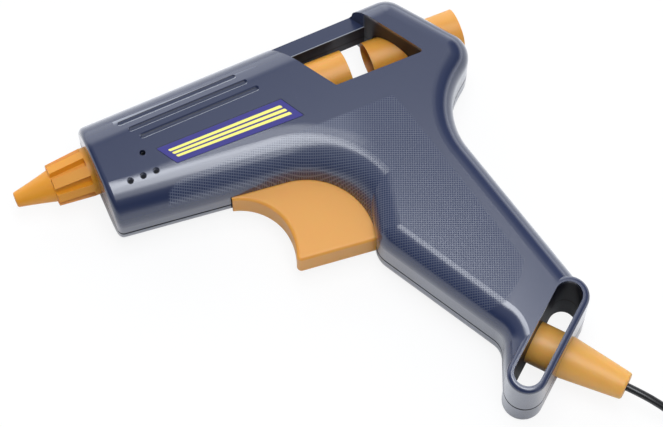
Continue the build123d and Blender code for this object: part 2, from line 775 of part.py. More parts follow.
def melt_chamber():
    """Cast aluminium chamber with a tapered bore and a heater pocket below it."""
    front, rear = CHAMBER_FRONT_X, CHAMBER_REAR_X
    end = rear + SPIGOT_LENGTH
    outside = [
        (front, 0),
        (front, CHAMBER_R),
        (rear, CHAMBER_R),
        (rear, SPIGOT_R),
        (end, SPIGOT_R),
        (end, 0),
    ]
    body = turned(outside)
    half = HEATER_BLOCK_HALF
    body += block((HEATER_FRONT_X, HEATER_REAR_X), (HEATER_BLOCK_Y, 0), (SEAM_Z - half, SEAM_Z + half))
    socket = front + THREAD_LENGTH
    bore = [
        (front, 0),
        (front, THREAD_R + THREAD_FIT),
        (socket, THREAD_R + THREAD_FIT),
        (socket, NOZZLE_FEED_R),
        (socket + MELT_CONE, MELT_BORE_R),
        (end, MELT_INLET_R),
        (end, 0),
    ]
    pocket_y = (POCKET_TOP_Y - POCKET_HEIGHT, POCKET_TOP_Y)
    pocket_z = (SEAM_Z - POCKET_HALF, SEAM_Z + POCKET_HALF)
    return body - turned(bore) - block((HEATER_FRONT_X, HEATER_REAR_X), pocket_y, pocket_z)


def heater_stack():
    """Film sleeve, two electrodes and the ceramic plate, stacked down from the pocket's top."""
    x = (HEATER_FRONT_X + HEATER_END_GAP, HEATER_REAR_X - HEATER_END_GAP)
    half = POCKET_HALF - SLIP_FIT
    top = POCKET_TOP_Y
    height = 2 * FILM_T + 2 * ELECTRODE_T + PTC_T
    film = block(x, (top - height, top), (SEAM_Z - half, SEAM_Z + half))
    inner = half - FILM_T
    film -= block(x, (top - height + FILM_T, top - FILM_T), (SEAM_Z - inner, SEAM_Z + inner))
    span = (SEAM_Z - PTC_HALF, SEAM_Z + PTC_HALF)
    y = top - FILM_T
    electrodes = []
    for side, drop in ((1, 0.0), (-1, ELECTRODE_T + PTC_T)):
        level = (y - drop - ELECTRODE_T, y - drop)
        tab_z = SEAM_Z + side * (PTC_HALF - TAB_HALF)
        plate = block(x, level, span)
        plate += block((x[1], TAB_END_X), level, (tab_z - TAB_HALF, tab_z + TAB_HALF))
        electrodes.append(plate)
    length = (x[0] + PTC_END_GAP[0], x[1] - PTC_END_GAP[1])
    ceramic = block(length, (y - ELECTRODE_T - PTC_T, y - ELECTRODE_T), span)
    return film, electrodes, ceramic


def heater_clip():
    """Spring-steel strap under the heater block, with two arms up its sides."""
    x = (HEATER_FRONT_X + CLIP_INSET, HEATER_REAR_X - CLIP_INSET)
    low, high = HEATER_BLOCK_Y, HEATER_BLOCK_Y + CLIP_ARM
    inner = (SEAM_Z - HEATER_BLOCK_HALF, SEAM_Z + HEATER_BLOCK_HALF)
    outer = (inner[0] - CLIP_T, inner[1] + CLIP_T)
    return block(x, (low - CLIP_T, high), outer) - block(x, (low, high), inner)


def inlet_sleeve():
    """Silicone hose between the chamber's spigot and the guide sleeve."""
    start = CHAMBER_REAR_X
    end = start + INLET_LENGTH
    step = CHAMBER_REAR_X + SPIGOT_LENGTH
    wide = SPIGOT_R + SLIP_FIT
    section = [
        (start, wide),
        (start, INLET_R),
        (end, INLET_R),
        (end, GUIDE_BORE_R),
        (step, GUIDE_BORE_R),
        (step, wide),
    ]
    return turned(section) - tube_x(GUIDE_FRONT_X, end, GUIDE_NECK_R + SLIP_FIT)


def hose_clamp():
    """Wire ring, left open, that holds the hose on the spigot."""
    x = CHAMBER_REAR_X + SPIGOT_LENGTH / 2
    ring_r = INLET_R + CLAMP_WIRE / 2 + SLIP_FIT
    wire = Pos(x, ring_r) * RegularPolygon(CLAMP_WIRE / 2, WIRE_SIDES)
    ring = AXIS_PLANE * revolve(wire, Axis.X)
    half = CLAMP_OPEN / 2
    mouth = block((x - CLAMP_WIRE, x + CLAMP_WIRE), (-2 * ring_r, 0), (SEAM_Z - half, SEAM_Z + half))
    return ring - mouth


def guide_sleeve():
    """Front stick guide, seen in the window, with a seating flange."""
    x, thick = GUIDE_FLANGE_X, GUIDE_FLANGE_T
    nose = CHAMBER_REAR_X + INLET_LENGTH
    outside = [
        (GUIDE_FRONT_X, 0),
        (GUIDE_FRONT_X, GUIDE_NECK_R),
        (nose, GUIDE_NECK_R),
        (nose, GUIDE_R),
        (x, GUIDE_R),
        (x, GUIDE_FLANGE_R),
        (x + thick, GUIDE_FLANGE_R),
        (x + thick, GUIDE_R),
        (GUIDE_REAR_X, GUIDE_R),
        (GUIDE_REAR_X, 0),
    ]
    bore = [
        (GUIDE_FRONT_X, 0),
        (GUIDE_FRONT_X, GUIDE_BORE_R),
        (GUIDE_REAR_X - MOUTH_FLARE_LENGTH, GUIDE_BORE_R),
        (GUIDE_REAR_X, MOUTH_FLARE_R),
        (GUIDE_REAR_X, 0),
    ]
    return turned(outside) - turned(bore)


def drive_slot(x, low, high):
    """Upright slot for a drive pin that rises and falls a little as the lever swings."""
    return stadium((x, low), (x, high), DRIVE_PIN_R + DRIVE_PIN_GAP)


def feed_carriage():
    """Sliding stick tube with two lugs that the lever drives."""
    mouth, tail = CARRIAGE_MOUTH_X, CARRIAGE_TAIL_X
    tube = turned(((mouth, 0), (mouth, CARRIAGE_MOUTH_R), (tail, CARRIAGE_TAIL_R), (tail, 0)))
    front, rear = lug_x()
    low = LEVER_TOP.Y - LEVER_END_R
    corners = [
        (front, -STICK_BORE_R, 0),
        (front, low, LEVER_END_R),
        (rear, low, LEVER_END_R),
        (rear, -STICK_BORE_R, 0),
    ]
    for z in (SEAM_Z - LUG_HALF, SEAM_Z + LUG_HALF - CHEEK_T):
        tube += prism(polygon(corners), z, z + CHEEK_T)
    bore = [
        (mouth, 0),
        (mouth, MOUTH_FLARE_R),
        (mouth + MOUTH_FLARE_LENGTH, STICK_BORE_R),
        (tail - ENTRY_FLARE_LENGTH, STICK_BORE_R),
        (tail, ENTRY_FLARE_R),
        (tail, 0),
    ]
    tube -= turned(bore)
    slot = drive_slot(LEVER_TOP.X, LEVER_TOP.Y, PIVOT[1] + LEVER_UP)
    tube -= prism(slot, SEAM_Z - LUG_HALF, SEAM_Z + LUG_HALF)
    reach = JAW_LENGTH / 2 + 2 * JAW_SLOT_GAP + JAW_TOOTH_H
    half = JAW_T / 2 + JAW_SLOT_GAP
    x = LEVER_TOP.X
    tube -= block((x - reach, x + reach), (-2 * CARRIAGE_MOUTH_R, 0), (SEAM_Z - half, SEAM_Z + half))
    return tube - rod(x, -JAW_PIN_DROP, SEAM_Z - LUG_HALF, SEAM_Z + LUG_HALF, JAW_PIN_R + JAW_PIN_FIT)


def grip_jaw():
    """Steel jaw with a row of forward-leaning teeth under the stick."""
    x = LEVER_TOP.X
    crest = -STICK_BORE_R - JAW_SLOT_GAP
    root = crest - JAW_TOOTH_H
    pitch = JAW_LENGTH / JAW_TEETH
    low = -JAW_PIN_DROP - 2 * JAW_PIN_R
    points = [(x - JAW_LENGTH / 2, low)]
    for i in range(JAW_TEETH):
        start = x - JAW_LENGTH / 2 + i * pitch
        points += [(start, root), (start, crest), (start + pitch, root)]
    points += [(x + JAW_LENGTH / 2, low)]
    unique = [p for p, q in zip(points, points[1:] + points[:1]) if p != q]
    body = prism(make_face(Polyline(*unique, close=True)), SEAM_Z - JAW_T / 2, SEAM_Z + JAW_T / 2)
    return body - rod(x, -JAW_PIN_DROP, 0, CASE_DEPTH, JAW_PIN_R + JAW_PIN_FIT)


def jaw_pin():
    return rod(LEVER_TOP.X, -JAW_PIN_DROP, SEAM_Z - LUG_HALF, SEAM_Z + LUG_HALF, JAW_PIN_R)


def feed_lever():
    """Flat rocker: a hub with a short upper and a longer lower arm."""
    hub = Pos(*PIVOT) * Circle(LEVER_HUB_R)
    body = Part()
    for end in (LEVER_TOP, LEVER_FOOT):
        tip = Pos(end.X, end.Y) * Circle(LEVER_END_R)
        body += prism(make_hull(hub.edges() + tip.edges()), SEAM_Z - LEVER_T / 2, SEAM_Z + LEVER_T / 2)
        body -= rod(end.X, end.Y, 0, CASE_DEPTH, DRIVE_PIN_R)
    return body - rod(*PIVOT, 0, CASE_DEPTH, PIVOT_R + PIVOT_FIT)


def lever_pins():
    """Two steel drive pins pressed into the lever's ends."""
    half_top, half_foot = LUG_HALF, TRIGGER_T / 2
    return [
        rod(LEVER_TOP.X, LEVER_TOP.Y, SEAM_Z - half_top, SEAM_Z + half_top, DRIVE_PIN_R),
        rod(LEVER_FOOT.X, LEVER_FOOT.Y, SEAM_Z - half_foot, SEAM_Z + half_foot, DRIVE_PIN_R),
    ]


def pivot_pin():
    return rod(*PIVOT, *PIVOT_PIN_Z, PIVOT_R)


def trigger_face():
    """Side view of the finger piece and the part of it inside the casing."""
    tip_x, tip_y = TRIGGER_TIP
    chin = (tip_x, tip_y - TRIGGER_TIP_T)
    hook = ThreePointArc(chin, TRIGGER_HOOK_MID, TRIGGER_HOOK_DEEP)
    under = TangentArc(TRIGGER_HOOK_DEEP, TRIGGER_TOE, tangent=hook % 1)
    rear_sole = (TRIGGER_REAR_X, sole_y(TRIGGER_REAR_X))
    shoulder = (tip_x + (TRIGGER_TOP_Y - tip_y), TRIGGER_TOP_Y)
    rear_top = (TRIGGER_REAR_X, TRIGGER_TOP_Y)
    lines = [
        hook,
        under,
        Line(TRIGGER_TOE, rear_sole),
        Line(rear_sole, rear_top),
        Line(rear_top, shoulder),
        Line(shoulder, TRIGGER_TIP),
        Line(TRIGGER_TIP, chin),
    ]
    face = make_face(lines)
    return fillet(face.vertices().sort_by_distance((*TRIGGER_TOE, 0))[0], TRIGGER_TOE_R)


def trigger():
    """Finger trigger with side runners, a spring pocket and a forked arm for the lever."""
    half = TRIGGER_T / 2
    low, high = SEAM_Z - half, SEAM_Z + half
    body = prism(trigger_face(), low, high)
    for z in (low, high):
        body = round_edge(body, *TRIGGER_HOOK_MID, z, TRIGGER_EDGE)
    arm_y = LEVER_FOOT.Y
    arm = stadium((TRIGGER_REAR_X - ARM_ROOT, arm_y), (LEVER_FOOT.X, arm_y), ARM_END_R)
    body += prism(arm, low, high)
    fork = LEVER_T / 2 + CHEEK_GAP
    fork_z = (SEAM_Z - fork, SEAM_Z + fork)
    body -= block((TRIGGER_REAR_X, BEYOND), (arm_y - ARM_END_R, arm_y + ARM_END_R), fork_z)
    body -= prism(drive_slot(LEVER_FOOT.X, PIVOT[1] - LEVER_DOWN, LEVER_FOOT.Y), low, high)
    runner_y = (RUNNER_Y - RUNNER_H / 2, RUNNER_Y + RUNNER_H / 2)
    for z in ((low - RUNNER_T, low), (high, high + RUNNER_T)):
        body += block(RUNNER_X, runner_y, z)
    depth = TRIGGER_REAR_X - SPRING_FRONT_X
    pocket = Cylinder(SPRING_MEAN_R + SPRING_WIRE / 2 + SPRING_GAP, depth)
    return body - Pos(SPRING_FRONT_X + depth / 2, SPRING_Y, SEAM_Z) * Rot(0, 90, 0) * pocket


def return_spring():
    """Compression spring from the trigger's pocket to its seat."""
    start = SPRING_FRONT_X + SPRING_WIRE / 2 + SPRING_END_GAP
    end = SPRING_SEAT_X - SPRING_WIRE / 2 - SPRING_END_GAP
    coil = Helix(pitch=(end - start) / SPRING_TURNS, height=end - start, radius=SPRING_MEAN_R)
    section = Plane(origin=coil @ 0, z_dir=coil % 0) * RegularPolygon(SPRING_WIRE / 2, WIRE_SIDES)
    wire = sweep(section, path=coil)
    return Pos(start, SPRING_Y, SEAM_Z) * Rot(0, 90, 0) * wire


def strain_relief():
    """Moulded relief: flange inside the grip, barrel across the slot, cone outside."""
    wall = -SLOT_R - WALL
    outside = [
        (RELIEF_INNER, 0),
        (RELIEF_INNER, RELIEF_FLANGE_R),
        (wall, RELIEF_FLANGE_R),
        (wall, RELIEF_R),
        (FOOT_R, RELIEF_R),
        (RELIEF_TIP, RELIEF_TIP_R),
        (RELIEF_TIP, 0),
    ]
    body = on_lead(outside)
    far_edge = body.edges().sort_by_distance(lead_point(RELIEF_TIP, SEAM_Z + RELIEF_TIP_R))[0]
    body = fillet(far_edge, RELIEF_TIP_EDGE)
    bore = CORD_D / 2 + RELIEF_FIT
    return body - on_lead(((RELIEF_INNER, 0), (RELIEF_TIP, 0), (RELIEF_TIP, bore), (RELIEF_INNER, bore)))


def inner_cable():
    """Sheathed end of the lead inside the strain relief."""
    r = CORD_D / 2
    return on_lead(((-CABLE_INNER_END, 0), (RELIEF_TIP, 0), (RELIEF_TIP, r), (-CABLE_INNER_END, r)))


def fillet_radii(points):
    """Largest even arcs that fit a route's corners."""
    radii = []
    for a, b, c in zip(points, points[1:], points[2:]):
        turn = math.radians((b - a).get_angle(c - b))
        radii.append(ARC_SHARE * min((b - a).length, (c - b).length) / math.tan(turn / 2))
    return radii


def route_tube(points, radius, sides):
    """Tube along straight runs joined by tangent arcs, with the radii of its arcs."""
    points = [Vector(*p) for p in points]
    radii = fillet_radii(points)
    path = FilletPolyline(*points, radius=radii)
    section = Plane(origin=points[0], z_dir=points[1] - points[0])
    face = section * RegularPolygon(radius, sides)
    solid = sweep(face, path=path)
    return solid, radii, solid.volume / (face.area * path.length)


def heater_lead(index):
    """Heat-proof core from an electrode's tab, over the trigger, down to its splice."""
    side = 1 if index == 0 else -1
    drop = 0.0 if index == 0 else ELECTRODE_T + PTC_T
    y = POCKET_TOP_Y - FILM_T - drop - ELECTRODE_T / 2
    z = SPLICE_Z - index * CORE_SPACING
    tab_z = SEAM_Z + side * (PTC_HALF - TAB_HALF)
    points = [(TAB_END_X, y, tab_z), (TAB_END_X + CORE_TAB_RUN, y, tab_z)]
    points += [(x, y, z + rise) for x, y, rise in CORE_RUN]
    return points + [(SPLICE_TOP[0], CORE_LAST_Y, z), (*SPLICE_TOP, z)]


def cord_core(index):
    """Core of the lead from its splice to the sheath's end."""
    z = SPLICE_Z - index * CORE_SPACING
    x, y = SPLICE_TOP[0], SPLICE_TOP[1] - SPLICE_LENGTH
    end = lead_point(-CABLE_INNER_END, SEAM_Z + (1 - 2 * index) * (CORE_R + SLIP_FIT / 2))
    before = end - LEAD_DIR * CORE_END_RUN
    return [(x, y, z), (x, y - CORE_START_RUN, z), tuple(before), tuple(end)]


def splices():
    """Crimped splices, one per core."""
    joints = []
    for i in range(2):
        z = SPLICE_Z - i * CORE_SPACING
        y = SPLICE_TOP[1] - SPLICE_LENGTH / 2
        joints.append(Pos(SPLICE_TOP[0], y, z) * Rot(90, 0, 0) * Cylinder(SPLICE_R, SPLICE_LENGTH))
    return joints


def coil_arcs():
    """Half turns of the put-away coil as (start, middle, end), spiralling in and out layer by layer."""
    place = CORD_POINTS[-1] + LEAD_DIR * CORD_D
    ahead, inward = LEAD_DIR, Vector(-LEAD_DIR.Y, LEAD_DIR.X)
    step = COIL_PITCH / 2
    spread = [COIL_INNER_R + step * (i + 1) for i in range(COIL_HALF_TURNS)]
    turns = []
    for layer in range(COIL_LAYERS):
        radii = spread if layer % 2 else spread[::-1]
        turns += [(r, 0.0) for r in radii]
        if layer < COIL_LAYERS - 1:
            edge = COIL_INNER_R if layer % 2 == 0 else COIL_INNER_R + step * (COIL_HALF_TURNS + 1)
            turns.append((edge, COIL_RISE))
    arcs = []
    for radius, rise in turns:
        lift = Vector(0, 0, rise)
        end = place + inward * (2 * radius) + lift
        middle = place + inward * radius + lift / 2 + ahead * math.hypot(radius, rise / 2)
        arcs.append((place, middle, end))
        place, ahead, inward = end, -ahead, -inward
    return arcs, place, ahead


def arc_samples(arc, count):
    start, middle, end = arc
    centre = (start + end) / 2
    u, v = start - centre, middle - centre
    angles = [math.pi * i / count for i in range(count)]
    return [centre + u * math.cos(angle) + v * math.sin(angle) for angle in angles]


def cord_coil():
    """The coil as one unbroken tube, with its path's length and least gap to itself."""
    arcs, end, ahead = coil_arcs()
    start = CORD_POINTS[-1]
    edges = [Line(start, arcs[0][0])]
    edges += [ThreePointArc(*arc) for arc in arcs]
    edges.append(Line(end, end + ahead * CORD_D))
    path = Wire([e.edge() for e in edges])
    section = Plane(origin=start, z_dir=LEAD_DIR) * RegularPolygon(CORD_D / 2, COIL_SIDES)
    solid = sweep(section, path=path)
    per_turn = 16
    samples = [p for arc in arcs for p in arc_samples(arc, per_turn)]
    gap = min(
        (p - q).length - CORD_D
        for i, p in enumerate(samples)
        for j, q in enumerate(samples[: max(0, i - per_turn)])
    )
    return solid, path.length, gap, samples, end + ahead * CORD_D, ahead


def coil_tie(samples):
    """Strap round the coil's bundle, flat on the table."""
    across = Vector(-LEAD_DIR.Y, LEAD_DIR.X) * (COIL_INNER_R + COIL_PITCH * COIL_HALF_TURNS / 2)
    hub = CORD_POINTS[-1] + LEAD_DIR * CORD_D + across
    near = [p - hub for p in samples]
    near = [p for p in near if p.dot(LEAD_DIR) > 0 and abs(p.dot(SLOT_DIR)) < TIE_WIDTH]
    reach = [p.dot(LEAD_DIR) for p in near]
    levels = [p.Z + hub.Z for p in near]
    grow = CORD_D / 2 + TIE_GAP
    x = (min(reach) - grow, max(reach) + grow)
    z = (min(levels) - grow, max(levels) + grow)
    outer = block((x[0] - TIE_T, x[1] + TIE_T), (-TIE_WIDTH / 2, TIE_WIDTH / 2), (z[0] - TIE_T, z[1] + TIE_T))
    outer = chamfer(outer.edges().filter_by(Axis.Y), TIE_T)
    strap = outer - block(x, (-TIE_WIDTH, TIE_WIDTH), z)
    plane = Plane(origin=(hub.X, hub.Y, 0), x_dir=LEAD_DIR, z_dir=(0, 0, 1))
    return plane * strap


def plug(place, heading):
    """Flat two-pin plug: moulded body and its pins."""
    half, neck = PLUG_WIDTH / 2, PLUG_NECK_HALF
    outer = [(0, neck), (PLUG_NECK_LENGTH, neck + PLUG_NECK_FLARE), (PLUG_BACK_X, half), (PLUG_LENGTH, half)]
    corners = [(x, y, r) for (x, y), r in zip(outer, PLUG_ROUNDS)]
    corners += [(x, -y, r) for x, y, r in reversed(corners)]
    body = prism(polygon(corners), -PLUG_DEPTH / 2, PLUG_DEPTH / 2)
    body = chamfer(body.faces().filter_by(Axis.Z).edges(), PLUG_EDGE)
    pins = []
    for y in (-PLUG_PIN_SPACING / 2, PLUG_PIN_SPACING / 2):
        pin = Rot(0, 90, 0) * Cylinder(PLUG_PIN_R, PLUG_PIN_LENGTH)
        pin = Pos(PLUG_LENGTH + PLUG_PIN_LENGTH / 2, y, 0) * pin
        pins.append(chamfer(pin.edges().sort_by(Axis.X)[-1], PLUG_PIN_EDGE))
    plane = Plane(origin=place, x_dir=heading, z_dir=(0, 0, 1))
    return plane * body, [plane * pin for pin in pins]


def lead_parts():
    """The free lead: cord, coil, tie, tail and plug."""
    cord, radii, fill = route_tube(CORD_POINTS, CORD_D / 2, CORD_SIDES)
    coil, coil_length, gap, samples, end, ahead = cord_coil()
    tail_points = [end, end + ahead * TAIL_START]
    for step in TAIL_STEPS:
        tail_points.append(tail_points[-1] + Vector(*step))
    tail, tail_radii, tail_fill = route_tube(tail_points, CORD_D / 2, CORD_SIDES)
    heading = tail_points[-1] - tail_points[-2]
    body, pins = plug(tail_points[-1], Vector(heading.X, heading.Y, 0).normalized())
    print("cord radii", [round(r, 1) for r in radii + tail_radii])
    print("cord volume over section times length", round(fill, 4), round(tail_fill, 4))
    print("coil length", round(coil_length, 1), "least gap", round(gap, 2), "volume", round(coil.volume, 1))
    return {
        "cord": cord, "cord_coil": coil, "coil_tie": coil_tie(samples), "cord_tail": tail,
        "plug_body": body, "plug_pins": pins,
    }


def gun_parts():
    left, right = casing()
    film, electrodes, ceramic = heater_stack()
    parts = {
        "casing_left": left, "casing_right": right, "case_screws": case_screws(),
        "nozzle_boot": nozzle_boot(), "nozzle": nozzle(), "melt_chamber": melt_chamber(),
        "heater_film": film, "heater_electrodes": electrodes, "heater_plate": ceramic,
        "heater_clip": heater_clip(),
        "inlet_hose": inlet_sleeve(), "hose_clamp": hose_clamp(), "guide_sleeve": guide_sleeve(),
        "feed_carriage": feed_carriage(), "grip_jaw": grip_jaw(), "jaw_pin": jaw_pin(),
        "feed_lever": feed_lever(), "lever_pins": lever_pins(), "pivot_pin": pivot_pin(),
        "trigger": trigger(), "return_spring": return_spring(),
        "strain_relief": strain_relief(), "inner_cable": inner_cable(), "wire_splices": splices(),
    }
    for i, name in enumerate(("live", "neutral")):
        parts["heater_lead_" + name] = route_tube(heater_lead(i), CORE_R, WIRE_SIDES)[0]
        parts["cord_core_" + name] = route_tube(cord_core(i), CORE_R, WIRE_SIDES)[0]
    return parts


def main():
    os.makedirs("parts", exist_ok=True)
    gun = gun_parts()
    lead = lead_parts()
    shapes = [Compound(shape) if isinstance(shape, list) else shape for shape in gun.values()]
    whole = Compound(children=shapes).bounding_box()
    middle = whole.center()
    shift = Pos(-middle.X, -middle.Y, 0)
    for name, shape in {**gun, **lead}.items():
        solids = shape if isinstance(shape, list) else [shape]
        export_step(Compound(children=[shift * s for s in solids]), f"parts/{name}.step")
    print("origin in the working frame", round(middle.X, 4), round(middle.Y, 4))
    print("box", whole.size)
    print("trigger", TRIGGER_TRAVEL, "lever", round(2 * LEVER_SWING, 3))
    print("carriage", round(CARRIAGE_TRAVEL, 3), "jaw", JAW_BITE_DEG)


main()
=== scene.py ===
import bmesh
import bpy
import json
import math
from mathutils import Matrix, Vector


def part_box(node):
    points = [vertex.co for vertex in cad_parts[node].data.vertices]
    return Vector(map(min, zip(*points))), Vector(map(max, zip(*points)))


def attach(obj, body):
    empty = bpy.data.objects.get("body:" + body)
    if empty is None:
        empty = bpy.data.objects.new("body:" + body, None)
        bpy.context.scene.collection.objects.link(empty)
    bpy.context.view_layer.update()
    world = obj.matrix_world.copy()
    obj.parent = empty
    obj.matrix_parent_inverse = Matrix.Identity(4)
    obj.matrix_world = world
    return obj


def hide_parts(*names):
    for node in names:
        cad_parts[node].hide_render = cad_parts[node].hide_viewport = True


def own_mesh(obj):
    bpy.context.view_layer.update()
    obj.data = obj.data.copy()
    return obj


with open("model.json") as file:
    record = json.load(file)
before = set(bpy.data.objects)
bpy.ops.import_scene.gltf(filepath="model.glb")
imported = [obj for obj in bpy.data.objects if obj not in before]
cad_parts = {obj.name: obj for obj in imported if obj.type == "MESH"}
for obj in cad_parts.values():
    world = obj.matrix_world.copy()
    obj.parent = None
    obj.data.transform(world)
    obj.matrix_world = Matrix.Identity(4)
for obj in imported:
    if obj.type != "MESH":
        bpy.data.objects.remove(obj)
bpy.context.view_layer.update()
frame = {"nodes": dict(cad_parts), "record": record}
nodes = frame["nodes"]

# The part's source draws the gun in millimetres from the casing's front face.
# This is where that zero point lies in the frame.
FRONT_FACE = Vector((-0.0612, 0.0727252, 0.0))


def gun(x_mm, y_mm, z=0.0):
    """A place given in the source's own millimetres, with its height in metres."""
    return FRONT_FACE + Vector((x_mm / 1000, y_mm / 1000, z))


# Camera
CAMERA_PLACE = gun(-70.661, -394.905, 0.890480)
CAMERA_AZIMUTH = -23.402
CAMERA_ELEVATION = 67.0
CAMERA_LENS = 135.75
CAMERA_SENSOR = 36.0
CAMERA_CLIP = (0.01, 20.0)

# Floor and light
FLOOR_HALF = 3.0
FLOOR_DROP = 0.0002
FLOOR_GREY = (0.92, 0.92, 0.92, 1.0)
FLOOR_ROUGHNESS = 0.9
FLOOR_GLOW_SEEN = 0.88
FLOOR_GLOW_MIRRORED = 0.05
LIGHT_TINT = (0.95, 0.98, 1.03)
# Each lamp hangs overhead and shines straight down: name, place, width and depth, power
LAMPS = [
    ("softbox", (0.055, 0.0125, 1.05), (0.375, 0.645), 6.0),
    ("strip", (0.19, 0.335, 1.045), (0.115, 0.10), 0.14),
    ("front_panel", (0.055, -0.53, 1.05), (0.375, 0.44), 1.6),
]
# Each patch of the surroundings is a product of ramps: axis, start, end, level at start and at end
SURROUNDINGS = {
    "overhead": [("Z", 0.25, 0.95, 0.06, 0.42)],
    "behind": [("Y", 0.46, 0.80, 0.0, 1.7)],
    "beside": [("X", 0.08, 0.24, 0.0, 0.58), ("X", 0.34, 0.58, 1.0, 0.0)],
    "right": [("X", 0.50, 0.90, 0.0, 2.0), ("Z", 0.08, 0.45, 1.0, 0.0)],
    "left": [("X", -0.95, -0.65, 1.1, 0.0), ("Z", 0.02, 0.22, 1.0, 0.0)],
    "front": [("Y", -0.95, -0.60, 0.5, 0.0), ("Z", 0.02, 0.20, 1.0, 0.0)],
}

# Lead: from the strain relief down to the floor, then a coil and a short tail to the plug
CORD_D = 0.0031
LEAD_HEADING = Vector((0.629282, -0.777177, 0.0))
LEAD_ROUTE = [
    gun(149.95, -160.42, 0.0130),
    gun(154.74, -166.32, 0.0130),
    gun(159.52, -172.23, 0.0108),
    gun(164.30, -178.14, 0.0072),
    gun(169.08, -184.04, 0.0040),
    gun(173.87, -189.95, 0.0025),
    gun(178.27, -195.39, 0.0025),
]
COIL_LAYERS = 4
COIL_HALF_TURNS = 6
COIL_INNER_R = 0.0122
COIL_PITCH = 0.0036
COIL_RISE = 0.0036
COIL_POINTS = 8
TAIL_START = 0.0084
TAIL_STEPS = [
    (-0.0020, 0.0082, -0.0018),
    (0.0014, 0.0084, -0.0027),
    (0.0040, 0.0076, -0.0020),
    (0.0044, 0.0078, 0.0),
]
CORD_ROUNDING = 4
CORD_STEPS = 4

# Return spring behind the trigger
SPRING_WIRE = 0.0008
SPRING_TURNS = 9
SPRING_STEPS = 24
SPRING_SIDES = 8

# Label in its recess on the left side, with stripes at shares of the way from top to foot
LABEL_CORNERS = [(23.6, -9.6), (28.9, -18.6), (80.9, -19.3), (75.3, -9.2)]
LABEL_FLOOR = 0.03165
LABEL_T = 0.0003
LABEL_MARGIN_MM = 0.25
LABEL_CORNER_R = 0.0004
LABEL_CORNER_STEPS = 3
STRIPE_MARGIN_MM = 2.4
STRIPE_SHARES = [(0.0, 0.24), (0.38, 0.62), (0.76, 1.0)]
STRIPE_T = 0.00004
VIOLET = (0.038, 0.034, 0.205)
YELLOW = (0.86, 0.78, 0.16)
PRINT_FINISH = {"grain_scale": 3000.0, "grain": 0.000005, "drift": 0.06}

# New meshes: points closer than this become one
MERGE_DISTANCE = 1e-7

# Shader nodes: the middle of a noise, and the colour sockets of a mix
NOISE_MIDDLE = 0.5
MIX_FIRST, MIX_SECOND, MIX_RESULT = 6, 7, 2

# Moulded plastic: slow drift of the shade, fine grain and faint scuffs
DRIFT_SCALE = 22.0
DRIFT_DETAIL = 3.0
GRAIN_DETAIL = 4.0
GRAIN_ROUGHENS = 0.16
SCUFF_TURN = (0.4, 0.2, 0.6)
SCUFF_STRETCH = (900.0, 60.0, 300.0)
SCUFF_RANGE = (0.70, 0.78)
SCUFF_LIGHTENS = 0.04
SCUFF_ROUGHENS = 0.05
SUBSURFACE_RADIUS = (1.0, 0.42, 0.12)
SUBSURFACE_SCALE = 0.0015

# Metal: drawing lines and duller patches
LINE_STRETCH = (1.0, 0.15, 0.15)
LINE_ROUGHENS = 0.2
LINE_HEIGHT = 0.00001
PATCH_SCALE = 160.0
PATCH_RANGE = (0.3, 0.7)
PATCH_SHADE = (0.82, 1.05)

# Casing: colours and finish
CASING = (0.014, 0.023, 0.066, 1.0)
# The grid's lines are lighter than the casing: partly the pressed pattern's own tone, partly painted
# sheen for the light their rough faces scatter.
GRID_LINE = (0.062, 0.074, 0.120, 1.0)
# Painted highlight: the grid's lines are paler on the barrel, where the shoulder's highlight band
# lies.
GRID_LINE_HIGHLIGHTED = (0.088, 0.104, 0.158, 1.0)
# Painted highlight: the pale colour of the vents' lower lips and the rail's edge.
EDGE_HIGHLIGHT_COLOUR = (0.36, 0.38, 0.43, 1.0)
CASING_ROUGHNESS = 0.20
CASING_COAT_IOR = 1.57
CASING_SPECULAR = 0.3
CASING_DRIFT = 0.10
CASING_GRAIN_SCALE = 1500.0
CASING_GRAIN = 0.0000015
RIDGE_ROUGHENS = 0.12
RIDGE_COAT = 0.80
BARREL_GRID_COAT = 0.65
# Painted shade: how much the base colour is darkened, and how much rougher it grows, along the seam,
# in the dimples and deep in the slot and window.
DARK_SHADE = 0.9
PAINTED_SHADE_ROUGHENS = 0.5

# Casing: where the pressed grid lies, below the shoulder and down the grip
GRID_PITCH = 0.00088
GRID_TURN = math.radians(-23.4)
GRID_DEPTH = 0.000014
GRID_LINE_RANGE = (0.15, 0.95)
GRID_FADE = (-0.0004, 0.0010)
GRID_TOP = -24.4
BARREL_GRID = [
    (20.1, -30.4), (21.8, -27.0), (25.6, -24.9), (30.0, GRID_TOP), (98.0, GRID_TOP), (98.0, -41.0),
]
BAY_GRID = [(52.0, GRID_TOP), (98.0, GRID_TOP), (98.0, -66.0), (86.0, -66.0), (52.0, -34.4)]
GRIP_GRID = [
    (88.0, GRID_TOP), (115.0, GRID_TOP), (118.0, -33.0), (122.0, -53.0), (133.1, -105.0),
    (128.0, -112.0), (119.0, -118.5), (111.5, -118.5), (92.2, -82.7), (88.2, -73.4),
]
# Where the grid's lines carry a painted highlight and the grid is glossier: fading out downwards and
# towards the grip.
HIGHLIGHT_AND_GLOSS_FADE_Y = (-62.0, -44.0)
HIGHLIGHT_AND_GLOSS_FADE_X = (90.0, 103.0)

# Casing: the gentle fall from the flat side into the shoulder
CROWN_START = [
    (-4.0, -14.6), (25.0, -14.9), (60.0, -15.8), (76.0, -19.0),
    (89.0, -26.0), (100.0, -36.5), (101.5, -45.0), (93.0, -60.0),
]
CROWN_WIDTH = 0.014
CROWN_FALL = 0.0020
CROWN_SOFTEN = 0.006
